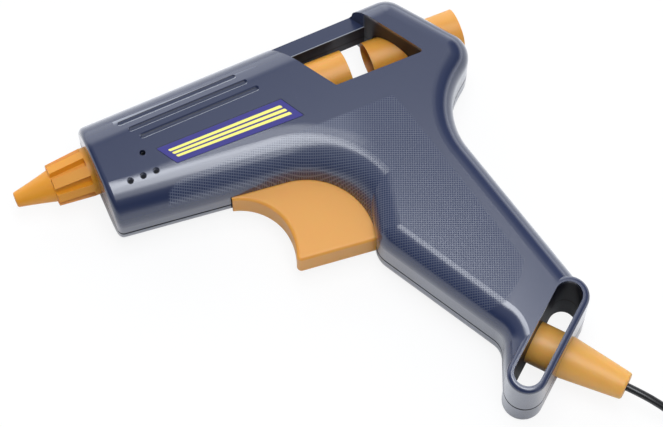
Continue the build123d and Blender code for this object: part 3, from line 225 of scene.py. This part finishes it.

# Casing: painted shade, made duller too: a dark line along the seam, dark dimples, and darker with
# depth in the slot and the window
CASE_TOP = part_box("casing_left")[1][2]
SEAM_GROOVE = 0.0005
SEAM_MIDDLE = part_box("casing_left")[0][2] - SEAM_GROOVE / 2
SEAM_FADE = (0.00042, 0.00065)
DIMPLE_CENTRES = [(10.2, -18.2), (15.4, -18.2), (20.6, -18.2)]
DIMPLE_R = 0.0013
DIMPLE_FADE = (DIMPLE_R * 0.6, DIMPLE_R)
DIMPLE_BELOW = CASE_TOP - 0.0005
SLOT_TOP = gun(141.5, -124.8)
SLOT_FOOT = gun(114.7, -146.5)
SLOT_R = 0.00535
WINDOW_INSIDE = [(96.6, -12.6), (82.6, 10.6), (119.4, 11.56), (134.1, -12.6)]
HOLLOW_SHADE_FADE = (CASE_TOP - 0.0030, CASE_TOP - 0.0005)
HOLLOW_PAINTED_SHADE = 0.8

# Casing: painted highlights, pale lines on the vents' lower lips and the edge of the window's rail
VENT_AREA = [gun(13.0, -6.0), gun(72.0, 8.0)]
LIP_FACING = (0.35, 0.60)
RAIL_EDGE = [(82.6, 10.46), (119.4, 11.43)]
RAIL_FACE = 0.0206
RAIL_FADE = (0.00022, 0.00042)


# Shader node helpers


def add_node(tree, kind, **settings):
    node = tree.nodes.new(kind)
    for key, value in settings.items():
        setattr(node, key, value)
    return node


def feed(tree, socket, source):
    """Sets a socket to a value, or links it to another node's output."""
    if isinstance(source, bpy.types.NodeSocket):
        tree.links.new(source, socket)
    else:
        socket.default_value = source


def feed_all(tree, node, sources):
    for socket, source in zip(node.inputs, sources):
        feed(tree, socket, source)
    return node


def math_node(tree, operation, *inputs):
    return feed_all(tree, add_node(tree, "ShaderNodeMath", operation=operation), inputs).outputs[0]


def vector_node(tree, operation, *inputs):
    return feed_all(tree, add_node(tree, "ShaderNodeVectorMath", operation=operation), inputs)


def ramp(tree, value, low, high, out_low, out_high):
    node = add_node(tree, "ShaderNodeMapRange", interpolation_type="SMOOTHSTEP")
    return feed_all(tree, node, (value, low, high, out_low, out_high)).outputs[0]


def held_to_one(tree, value):
    """The same value, held between 0 and 1."""
    return feed_all(tree, add_node(tree, "ShaderNodeClamp"), (value,)).outputs[0]


def coordinates(tree, vector):
    """The X, Y and Z outputs of a vector."""
    return feed_all(tree, add_node(tree, "ShaderNodeSeparateXYZ"), (vector,)).outputs


def object_place(tree):
    return add_node(tree, "ShaderNodeTexCoord").outputs["Object"]


def noise(tree, where, scale, detail=2.0):
    node = add_node(tree, "ShaderNodeTexNoise")
    for label, source in (("Vector", where), ("Scale", scale), ("Detail", detail)):
        feed(tree, node.inputs[label], source)
    return node.outputs["Fac"]


def stretched(tree, where, scale, turn=(0.0, 0.0, 0.0)):
    node = add_node(tree, "ShaderNodeMapping")
    for label, source in (("Vector", where), ("Rotation", turn), ("Scale", scale)):
        feed(tree, node.inputs[label], source)
    return node.outputs[0]


def mix_colours(tree, first, second, factor, blend="MIX"):
    node = add_node(tree, "ShaderNodeMix", data_type="RGBA", blend_type=blend)
    feed(tree, node.inputs["Factor"], factor)
    feed(tree, node.inputs[MIX_FIRST], first)
    feed(tree, node.inputs[MIX_SECOND], second)
    return node.outputs[MIX_RESULT]


def shade(tree, colour, factor):
    """Multiplies a colour by a grey factor."""
    grey = feed_all(tree, add_node(tree, "ShaderNodeCombineColor"), (factor,) * 3)
    return mix_colours(tree, colour, grey.outputs[0], 1.0, "MULTIPLY")


def new_group(name, inputs, outputs):
    tree = bpy.data.node_groups.new(name, "ShaderNodeTree")
    for direction, sockets in (("INPUT", inputs), ("OUTPUT", outputs)):
        for label, kind in sockets:
            tree.interface.new_socket(label, in_out=direction, socket_type="NodeSocket" + kind)
    return tree, add_node(tree, "NodeGroupInput"), add_node(tree, "NodeGroupOutput")


def place_group(tree, group, **values):
    node = add_node(tree, "ShaderNodeGroup", node_tree=group)
    for label, value in values.items():
        feed(tree, node.inputs[label.replace("_", " ")], value)
    return node


def moulded_grain_group():
    """Moulded plastic: slow shading drift, fine grain and faint scuffs."""
    tree, given, out = new_group(
        "moulded_grain",
        [("Colour", "Color"), ("Drift", "Float"), ("Grain Scale", "Float"), ("Roughness", "Float")],
        [("Colour", "Color"), ("Roughness", "Float"), ("Height", "Float")],
    )
    where = object_place(tree)
    slow = noise(tree, where, DRIFT_SCALE, DRIFT_DETAIL)
    fine = noise(tree, where, given.outputs["Grain Scale"], GRAIN_DETAIL)
    scuffs = noise(tree, stretched(tree, where, SCUFF_STRETCH, SCUFF_TURN), 1.0)
    marks = ramp(tree, scuffs, *SCUFF_RANGE, 0.0, 1.0)
    drift = math_node(tree, "SUBTRACT", slow, NOISE_MIDDLE)
    level = math_node(tree, "MULTIPLY_ADD", drift, given.outputs["Drift"], 1.0)
    level = math_node(tree, "MULTIPLY_ADD", marks, SCUFF_LIGHTENS, level)
    feed(tree, out.inputs["Colour"], shade(tree, given.outputs["Colour"], level))
    grain = math_node(tree, "SUBTRACT", fine, NOISE_MIDDLE)
    rough = math_node(tree, "MULTIPLY_ADD", grain, GRAIN_ROUGHENS, given.outputs["Roughness"])
    rough = math_node(tree, "MULTIPLY_ADD", marks, SCUFF_ROUGHENS, rough)
    feed(tree, out.inputs["Roughness"], rough)
    feed(tree, out.inputs["Height"], fine)
    return tree


def drawn_metal_group():
    """Metal: fine turning or drawing lines and a little dullness in patches."""
    tree, given, out = new_group(
        "drawn_metal",
        [("Colour", "Color"), ("Line Scale", "Float"), ("Roughness", "Float")],
        [("Colour", "Color"), ("Roughness", "Float"), ("Height", "Float")],
    )
    where = object_place(tree)
    lines = noise(tree, stretched(tree, where, LINE_STRETCH), given.outputs["Line Scale"])
    patches = noise(tree, where, PATCH_SCALE)
    level = ramp(tree, patches, *PATCH_RANGE, *PATCH_SHADE)
    feed(tree, out.inputs["Colour"], shade(tree, given.outputs["Colour"], level))
    rough = math_node(tree, "MULTIPLY_ADD", lines, LINE_ROUGHENS, given.outputs["Roughness"])
    feed(tree, out.inputs["Roughness"], rough)
    feed(tree, out.inputs["Height"], lines)
    return tree


def border_distance_group():
    """Distance of a point from a straight border, positive on its inner side."""
    tree, given, out = new_group(
        "border_distance",
        [("Place", "Vector"), ("Inward", "Vector"), ("Offset", "Float")],
        [("Distance", "Float")],
    )
    along = vector_node(tree, "DOT_PRODUCT", given.outputs["Place"], given.outputs["Inward"])
    distance = math_node(tree, "SUBTRACT", along.outputs["Value"], given.outputs["Offset"])
    feed(tree, out.inputs["Distance"], distance)
    return tree


MOULDED = moulded_grain_group()
METAL = drawn_metal_group()
BORDER = border_distance_group()


# Plain plastics and metals


def new_material(name):
    made = bpy.data.materials.new(name)
    made.use_nodes = True
    return made, made.node_tree, made.node_tree.nodes["Principled BSDF"]


def bump(tree, shader, height, distance):
    node = add_node(tree, "ShaderNodeBump")
    for label, source in (("Height", height), ("Distance", distance), ("Strength", 1.0)):
        feed(tree, node.inputs[label], source)
    feed(tree, shader.inputs["Normal"], node.outputs[0])


def plastic(
    name, colour, roughness,
    grain_scale=2400.0, grain=0.00002, drift=0.10, gloss=0.5, subsurface=0.0,
):
    made, tree, shader = new_material(name)
    grains = place_group(
        tree, MOULDED,
        Colour=(*colour, 1.0), Drift=drift, Grain_Scale=grain_scale, Roughness=roughness,
    )
    feed(tree, shader.inputs["Base Color"], grains.outputs["Colour"])
    feed(tree, shader.inputs["Roughness"], grains.outputs["Roughness"])
    shader.inputs["Specular IOR Level"].default_value = gloss
    shader.inputs["Subsurface Weight"].default_value = subsurface
    shader.inputs["Subsurface Radius"].default_value = SUBSURFACE_RADIUS
    shader.inputs["Subsurface Scale"].default_value = SUBSURFACE_SCALE
    bump(tree, shader, grains.outputs["Height"], grain)
    return made


def metal(name, colour, roughness, line_scale=3000.0):
    made, tree, shader = new_material(name)
    lines = place_group(
        tree, METAL, Colour=(*colour, 1.0), Line_Scale=line_scale, Roughness=roughness
    )
    feed(tree, shader.inputs["Base Color"], lines.outputs["Colour"])
    feed(tree, shader.inputs["Roughness"], lines.outputs["Roughness"])
    shader.inputs["Metallic"].default_value = 1.0
    bump(tree, shader, lines.outputs["Height"], LINE_HEIGHT)
    return made


# Casing plastic: smooth on the flat side, with a pressed grid below the shoulder and down the grip


def inside_borders(tree, place, corners, closed=True, soften=0.0):
    """Distance inside a run of straight borders, whose corners go round clockwise."""
    least = None
    ends = corners[1:] + corners[:1] if closed else corners[1:]
    for start, end in zip(corners, ends):
        along = gun(*end) - gun(*start)
        inward = Vector((along.y, -along.x, 0.0)).normalized()
        offset = inward.dot(gun(*start))
        border = place_group(tree, BORDER, Place=place, Inward=inward, Offset=offset)
        near = border.outputs["Distance"]
        least = near if least is None else math_node(tree, "SMOOTH_MIN", least, near, soften)
    return least


def grid_area(tree, place):
    """1 where the casing carries the pressed grid, 0 elsewhere."""
    inside = inside_borders(tree, place, BARREL_GRID)
    for corners in (BAY_GRID, GRIP_GRID):
        inside = math_node(tree, "MAXIMUM", inside, inside_borders(tree, place, corners))
    return ramp(tree, inside, *GRID_FADE, 0.0, 1.0)


def grid_lines(tree, place):
    """The pressed grid: 1 on its lines, 0 in the square hollows between them."""
    step = 2 * math.pi / GRID_PITCH
    lines = None
    for turn in (GRID_TURN, GRID_TURN + math.pi / 2):
        across = (math.cos(turn) * step, math.sin(turn) * step, 0.0)
        phase = vector_node(tree, "DOT_PRODUCT", place, across).outputs["Value"]
        line = ramp(tree, math_node(tree, "COSINE", phase), *GRID_LINE_RANGE, 0.0, 1.0)
        lines = line if lines is None else math_node(tree, "MAXIMUM", lines, line)
    return lines


def highlight_and_gloss_area(tree, place):
    """1 on the barrel, where the grid's lines are painted paler as a painted highlight and the grid
    is glossier, and 0 low in the bay and on the grip.
    """
    axes = coordinates(tree, place)
    low, high = (gun(0.0, y).y for y in HIGHLIGHT_AND_GLOSS_FADE_Y)
    near, far = (gun(x, 0.0).x for x in HIGHLIGHT_AND_GLOSS_FADE_X)
    upwards = ramp(tree, axes["Y"], low, high, 0.0, 1.0)
    return math_node(tree, "MULTIPLY", upwards, ramp(tree, axes["X"], near, far, 1.0, 0.0))


def shoulder_crown(tree, place):
    """Height of the gentle fall that leads from the flat side into the shoulder."""
    inside = inside_borders(tree, place, CROWN_START, closed=False, soften=CROWN_SOFTEN)
    return ramp(tree, inside, 0.0, CROWN_WIDTH, 0.0, -CROWN_FALL)


def from_slot_axis(tree, flat):
    """Distance of a point, seen from above, from the middle line of the hanging slot."""
    along = SLOT_FOOT - SLOT_TOP
    reach = vector_node(tree, "SUBTRACT", flat, SLOT_TOP).outputs[0]
    share = vector_node(tree, "DOT_PRODUCT", reach, along / along.length_squared)
    nearest = vector_node(tree, "SCALE", along)
    feed(tree, nearest.inputs["Scale"], held_to_one(tree, share.outputs["Value"]))
    return vector_node(tree, "DISTANCE", reach, nearest.outputs[0]).outputs["Value"]


def painted_shade_places(tree, place):
    """Painted shade, made duller too: a dark line along the seam, dark dimples, and darker with depth
    inside the slot and the window.
    """
    axes = coordinates(tree, place)
    height = axes["Z"]
    flat = feed_all(tree, add_node(tree, "ShaderNodeCombineXYZ"), (axes["X"], axes["Y"])).outputs[0]
    # Painted shade: a dark line along the seam, for the shadow in the parting gap.
    off_seam = math_node(tree, "ABSOLUTE", math_node(tree, "SUBTRACT", height, SEAM_MIDDLE))
    painted_shade = ramp(tree, off_seam, *SEAM_FADE, 1.0, 0.0)
    upper = math_node(tree, "GREATER_THAN", height, SEAM_MIDDLE)
    below_face = math_node(tree, "LESS_THAN", height, DIMPLE_BELOW)
    sunk = math_node(tree, "MULTIPLY", upper, below_face)
    # Painted shade: dark dimples, below the casing's face.
    for centre in DIMPLE_CENTRES:
        apart = vector_node(tree, "DISTANCE", flat, gun(*centre)).outputs["Value"]
        inside = ramp(tree, apart, *DIMPLE_FADE, 1.0, 0.0)
        painted_shade = math_node(tree, "MAXIMUM", painted_shade, math_node(tree, "MULTIPLY", inside, sunk))
    # Painted shade: inside the slot and the window, darker the deeper the surface lies.
    in_slot = math_node(tree, "LESS_THAN", from_slot_axis(tree, flat), SLOT_R)
    in_window = math_node(tree, "GREATER_THAN", inside_borders(tree, place, WINDOW_INSIDE), 0.0)
    hollow = math_node(tree, "MAXIMUM", in_slot, in_window)
    deep = ramp(tree, height, *HOLLOW_SHADE_FADE, HOLLOW_PAINTED_SHADE, 0.0)
    return math_node(tree, "MAXIMUM", painted_shade, math_node(tree, "MULTIPLY", hollow, deep))


def painted_edge_highlights(tree, place):
    """Painted highlights: pale lines on the vents' slanted lower lips and along the edge of the
    window's rail.
    """
    facing = coordinates(tree, add_node(tree, "ShaderNodeTexCoord").outputs["Normal"])
    axes = coordinates(tree, place)
    slants = [ramp(tree, facing[axis], *LIP_FACING, 0.0, 1.0) for axis in ("Y", "Z")]
    edge_highlight = math_node(tree, "MULTIPLY", *slants)
    low, high = VENT_AREA
    for axis, least, most in (("X", low.x, high.x), ("Y", low.y, high.y)):
        for test, limit in (("GREATER_THAN", least), ("LESS_THAN", most)):
            edge_highlight = math_node(tree, "MULTIPLY", edge_highlight, math_node(tree, test, axes[axis], limit))
    off_edge = math_node(tree, "ABSOLUTE", inside_borders(tree, place, RAIL_EDGE, closed=False))
    off_face = math_node(tree, "ABSOLUTE", math_node(tree, "SUBTRACT", axes["Z"], RAIL_FACE))
    off_rail = math_node(tree, "MAXIMUM", off_edge, off_face)
    return math_node(tree, "MAXIMUM", edge_highlight, ramp(tree, off_rail, *RAIL_FADE, 1.0, 0.0))


def casing_plastic():
    made, tree, shader = new_material("slate_casing")
    place = object_place(tree)
    grid = grid_area(tree, place)
    ridge = math_node(tree, "MULTIPLY", grid_lines(tree, place), grid)
    highlight_and_gloss = highlight_and_gloss_area(tree, place)
    painted_shade = painted_shade_places(tree, place)
    grains = place_group(
        tree, MOULDED,
        Colour=CASING, Drift=CASING_DRIFT, Grain_Scale=CASING_GRAIN_SCALE, Roughness=CASING_ROUGHNESS,
    )

    # Painted highlight: the grid's lines are paler on the barrel.
    line = mix_colours(tree, GRID_LINE, GRID_LINE_HIGHLIGHTED, highlight_and_gloss)
    colour = mix_colours(tree, grains.outputs["Colour"], line, ridge)
    # Painted highlight: pale lips on the vents and a pale line along the rail's edge.
    colour = mix_colours(tree, colour, EDGE_HIGHLIGHT_COLOUR, painted_edge_highlights(tree, place))
    # Painted shade: the base colour is darkened along the seam, in the dimples and deep in the slot
    # and the window.
    lit = math_node(tree, "MULTIPLY_ADD", painted_shade, -DARK_SHADE, 1.0)
    feed(tree, shader.inputs["Base Color"], shade(tree, colour, lit))

    rough = math_node(tree, "MULTIPLY_ADD", ridge, RIDGE_ROUGHENS, grains.outputs["Roughness"])
    rough = math_node(tree, "MULTIPLY_ADD", painted_shade, PAINTED_SHADE_ROUGHENS, rough)
    feed(tree, shader.inputs["Roughness"], rough)

    crown = shoulder_crown(tree, place)
    height = math_node(tree, "MULTIPLY_ADD", grains.outputs["Height"], CASING_GRAIN, crown)
    bump(tree, shader, math_node(tree, "MULTIPLY_ADD", ridge, GRID_DEPTH, height), 1.0)

    # The grid's hollows have no coat on the grip and a part of it on the barrel.
    # Its lines get most or all of it back.
    dulled = math_node(tree, "MULTIPLY_ADD", highlight_and_gloss, BARREL_GRID_COAT, -1.0)
    coat = math_node(tree, "MULTIPLY_ADD", grid, dulled, 1.0)
    coat = math_node(tree, "MULTIPLY_ADD", ridge, RIDGE_COAT, coat)
    coat = math_node(tree, "MINIMUM", coat, 1.0)
    coat = math_node(tree, "MULTIPLY_ADD", painted_shade, -1.0, coat)
    feed(tree, shader.inputs["Coat Weight"], coat)
    shader.inputs["Coat Roughness"].default_value = CASING_ROUGHNESS
    shader.inputs["Coat IOR"].default_value = CASING_COAT_IOR
    shader.inputs["Specular IOR Level"].default_value = CASING_SPECULAR
    return made


# Materials of the solids, by the slot that the record gives each of them

finishes = {
    "casing": casing_plastic(),
    "orange": plastic("orange_plastic", (0.69, 0.315, 0.045), 0.42, subsurface=0.5),
    "boot": plastic("orange_boot", (0.68, 0.28, 0.018), 0.42, gloss=0.4, subsurface=0.3),
    "orange_soft": plastic("orange_relief", (0.74, 0.380, 0.082), 0.42, subsurface=0.5),
    "brass": metal("turned_brass", (0.62, 0.43, 0.16), 0.22),
    "aluminium": metal("cast_aluminium", (0.66, 0.67, 0.68), 0.42, line_scale=700.0),
    "film": plastic("amber_film", (0.55, 0.25, 0.03), 0.25),
    "ceramic": plastic("fired_ceramic", (0.12, 0.12, 0.125), 0.7),
    "silicone": plastic("red_silicone", (0.36, 0.06, 0.03), 0.5),
    "steel": metal("plain_steel", (0.56, 0.57, 0.58), 0.28),
    "black_plastic": plastic("black_plastic", (0.016, 0.016, 0.018), 0.42),
    "core_brown": plastic("brown_core", (0.10, 0.04, 0.018), 0.4),
    "core_blue": plastic("blue_core", (0.02, 0.07, 0.32), 0.4),
    "cord": plastic("black_sheath", (0.012, 0.012, 0.013), 0.26, grain_scale=1200.0, grain=0.00001),
    "plated": metal("plated_pins", (0.70, 0.69, 0.64), 0.15),
}
for part in frame["record"]["subparts"]:
    mesh = nodes[part["node"]].data
    mesh.materials.clear()
    mesh.materials.append(finishes[part["material_slot"]])


# New pieces


def finish_piece(name, bm, material, body):
    """Turns a bmesh into an object that rides on a body."""
    bmesh.ops.remove_doubles(bm, verts=bm.verts, dist=MERGE_DISTANCE)
    bmesh.ops.recalc_face_normals(bm, faces=bm.faces)
    mesh = bpy.data.meshes.new(name)
    bm.to_mesh(mesh)
    bm.free()
    mesh.materials.append(material)
    piece = bpy.data.objects.new(name, mesh)
    bpy.context.scene.collection.objects.link(piece)
    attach(piece, body)
    return piece


def coil_turns():
    """Radius and rise of each half turn: layer by layer, spiralling in and out by turns."""
    step = COIL_PITCH / 2
    spread = [COIL_INNER_R + step * (i + 1) for i in range(COIL_HALF_TURNS)]
    outer = COIL_INNER_R + step * (COIL_HALF_TURNS + 1)
    turns = []
    for layer in range(COIL_LAYERS):
        outwards = layer % 2 == 1
        turns += [(radius, 0.0) for radius in (spread if outwards else spread[::-1])]
        if layer < COIL_LAYERS - 1:
            turns.append((outer if outwards else COIL_INNER_R, COIL_RISE))
    return turns


def coil_points():
    """Control points of the put-away coil, and the heading at its end."""
    place = LEAD_ROUTE[-1] + LEAD_HEADING * CORD_D
    ahead, inward = LEAD_HEADING.copy(), Vector((-LEAD_HEADING.y, LEAD_HEADING.x, 0.0))
    points = []
    for radius, rise in coil_turns():
        centre = place + inward * radius
        for i in range(COIL_POINTS):
            angle = math.pi * i / COIL_POINTS
            lift = Vector((0, 0, rise * i / COIL_POINTS))
            round_centre = ahead * (radius * math.sin(angle)) - inward * (radius * math.cos(angle))
            points.append(centre + round_centre + lift)
        place = place + inward * (2 * radius) + Vector((0, 0, rise))
        ahead, inward = -ahead, -inward
    points.append(place)
    return points, ahead


def lead():
    """The whole free lead as one smooth curve."""
    turns, ahead = coil_points()
    route = LEAD_ROUTE + turns
    route.append(route[-1] + ahead * CORD_D)
    route.append(route[-1] + ahead * TAIL_START)
    for step in TAIL_STEPS:
        route.append(route[-1] + Vector(step))
    curve = bpy.data.curves.new("lead", "CURVE")
    curve.dimensions = "3D"
    curve.bevel_depth = CORD_D / 2
    curve.bevel_resolution = CORD_ROUNDING
    curve.resolution_u = CORD_STEPS
    curve.use_fill_caps = True
    spline = curve.splines.new("NURBS")
    spline.points.add(len(route) - 1)
    for point, place in zip(spline.points, route):
        point.co = (*place, 1.0)
    spline.order_u = 3
    spline.use_endpoint_u = True
    curve.materials.append(finishes["cord"])
    piece = bpy.data.objects.new("lead", curve)
    bpy.context.scene.collection.objects.link(piece)
    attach(piece, "casing")
    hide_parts("cord", "cord_coil", "cord_tail")


def return_spring():
    """The trigger's return spring, a wire helix in place of the part's own spring."""
    low, high = (Vector(corner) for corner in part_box("return_spring"))
    middle = (low + high) / 2
    start = Vector((low.x + SPRING_WIRE / 2, middle.y, low.z + SPRING_WIRE / 2))
    run = high.x - low.x - SPRING_WIRE
    steps = SPRING_TURNS * SPRING_STEPS
    bm = bmesh.new()
    upright = Matrix.Translation(start) @ Matrix.Rotation(math.pi / 2, 4, "X")
    bmesh.ops.create_circle(
        bm, cap_ends=False, segments=SPRING_SIDES, radius=SPRING_WIRE / 2, matrix=upright
    )
    bmesh.ops.spin(
        bm, geom=bm.verts[:] + bm.edges[:], cent=(start.x, middle.y, middle.z), axis=(1, 0, 0),
        dvec=(run / steps, 0, 0), angle=2 * math.pi * SPRING_TURNS, steps=steps,
    )
    ends = [edge for edge in bm.edges if edge.is_boundary]
    bmesh.ops.holes_fill(bm, edges=ends, sides=SPRING_SIDES)
    piece = finish_piece("trigger_spring", bm, finishes["steel"], "casing")
    for face in piece.data.polygons:
        is_end = len(face.vertices) == SPRING_SIDES
        face.use_smooth = not is_end
    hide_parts("return_spring")
    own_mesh(piece)


def slanted_plate(name, corners, low, thickness, material):
    """Thin plate with softened corners, from corners in the source's millimetres."""
    bm = bmesh.new()
    face = bm.faces.new([bm.verts.new(gun(x, y, low)) for x, y in corners])
    made = bmesh.ops.extrude_face_region(bm, geom=[face])
    raised = [item for item in made["geom"] if isinstance(item, bmesh.types.BMVert)]
    bmesh.ops.translate(bm, verts=raised, vec=(0, 0, thickness))
    upright = [e for e in bm.edges if abs(e.verts[0].co.z - e.verts[1].co.z) > thickness / 2]
    bmesh.ops.bevel(
        bm, geom=upright, offset=LABEL_CORNER_R, segments=LABEL_CORNER_STEPS, profile=0.5,
        affect="EDGES", material=-1,
    )
    finish_piece(name, bm, material, "casing")


def inset_corners(corners, inset_mm):
    """The same corners, drawn in by one distance from all sides."""
    drawn = []
    for i, corner in enumerate(corners):
        here = Vector(corner)
        back = (Vector(corners[i - 1]) - here).normalized()
        on = (Vector(corners[(i + 1) % len(corners)]) - here).normalized()
        half = back.angle(on) / 2
        drawn.append(here + (back + on).normalized() * (inset_mm / math.sin(half)))
    return drawn


def label():
    """A plain violet plate with yellow stripes, without lettering."""
    ink = plastic("violet_label", VIOLET, 0.45, gloss=0.25, **PRINT_FINISH)
    stripe = plastic("yellow_stripe", YELLOW, 0.35, **PRINT_FINISH)
    slanted_plate("label", inset_corners(LABEL_CORNERS, LABEL_MARGIN_MM), LABEL_FLOOR, LABEL_T, ink)
    top_left, foot_left, foot_right, top_right = inset_corners(LABEL_CORNERS, STRIPE_MARGIN_MM)
    for i, (upper, lower) in enumerate(STRIPE_SHARES):
        corners = [
            top_left.lerp(foot_left, upper),
            top_left.lerp(foot_left, lower),
            top_right.lerp(foot_right, lower),
            top_right.lerp(foot_right, upper),
        ]
        slanted_plate(f"label_stripe_{i + 1}", corners, LABEL_FLOOR + LABEL_T, STRIPE_T, stripe)


lead()
return_spring()
label()


# Floor, light and camera


def floor():
    """Pale floor with a glow of its own for the camera, so that it shows white."""
    bm = bmesh.new()
    bmesh.ops.create_grid(bm, x_segments=1, y_segments=1, size=FLOOR_HALF)
    mesh = bpy.data.meshes.new("floor")
    bm.to_mesh(mesh)
    bm.free()
    piece = bpy.data.objects.new("floor", mesh)
    bpy.context.scene.collection.objects.link(piece)
    piece.location.z = -FLOOR_DROP
    made, tree, shader = new_material("pale_floor")
    shader.inputs["Base Color"].default_value = FLOOR_GREY
    shader.inputs["Roughness"].default_value = FLOOR_ROUGHNESS
    shader.inputs["Specular IOR Level"].default_value = 0.0
    glow = add_node(tree, "ShaderNodeEmission")
    glow.inputs["Strength"].default_value = 1.0
    rays = add_node(tree, "ShaderNodeLightPath").outputs
    seen = math_node(tree, "MAXIMUM", rays["Is Camera Ray"], rays["Is Transmission Ray"])
    share = math_node(tree, "MULTIPLY", seen, FLOOR_GLOW_SEEN)
    share = math_node(tree, "MULTIPLY_ADD", rays["Is Glossy Ray"], FLOOR_GLOW_MIRRORED, share)
    mix = add_node(tree, "ShaderNodeMixShader")
    feed_all(tree, mix, (share, shader.outputs[0], glow.outputs[0]))
    feed(tree, tree.nodes["Material Output"].inputs["Surface"], mix.outputs[0])
    mesh.materials.append(made)


def lamp(name, place, size, power):
    data = bpy.data.lights.new(name, "AREA")
    data.shape = "RECTANGLE"
    data.size, data.size_y = size
    data.energy = power
    data.color = LIGHT_TINT
    piece = bpy.data.objects.new(name, data)
    bpy.context.scene.collection.objects.link(piece)
    piece.location = place
    down = Vector((0.0, 0.0, -place[2]))
    piece.rotation_mode = "QUATERNION"
    piece.rotation_quaternion = down.to_track_quat("-Z", "Y")


def studio():
    """Grey surroundings, lighter at the sides and the back, and three lamps overhead."""
    world = bpy.data.worlds.new("studio")
    world.use_nodes = True
    tree = world.node_tree
    heading = coordinates(tree, add_node(tree, "ShaderNodeTexCoord").outputs["Generated"])
    level = 0.0
    for ramps in SURROUNDINGS.values():
        patch = 1.0
        for axis, *limits in ramps:
            patch = math_node(tree, "MULTIPLY", patch, ramp(tree, heading[axis], *limits))
        level = math_node(tree, "ADD", level, patch)
    background = tree.nodes["Background"]
    background.inputs["Color"].default_value = (*LIGHT_TINT, 1.0)
    feed(tree, background.inputs["Strength"], level)
    bpy.context.scene.world = world
    for name, place, size, power in LAMPS:
        lamp(name, place, size, power)
    bpy.context.scene.view_settings.view_transform = "Standard"


def camera():
    data = bpy.data.cameras.new("camera")
    data.lens = CAMERA_LENS
    data.sensor_width = CAMERA_SENSOR
    data.clip_start, data.clip_end = CAMERA_CLIP
    piece = bpy.data.objects.new("camera", data)
    bpy.context.scene.collection.objects.link(piece)
    azimuth, elevation = math.radians(CAMERA_AZIMUTH), math.radians(CAMERA_ELEVATION)
    back = Vector((
        math.sin(azimuth) * math.cos(elevation),
        -math.cos(azimuth) * math.cos(elevation),
        math.sin(elevation),
    ))
    piece.location = CAMERA_PLACE
    piece.rotation_mode = "QUATERNION"
    piece.rotation_quaternion = (-back).to_track_quat("-Z", "Y")
    bpy.context.scene.camera = piece


floor()
studio()
camera()
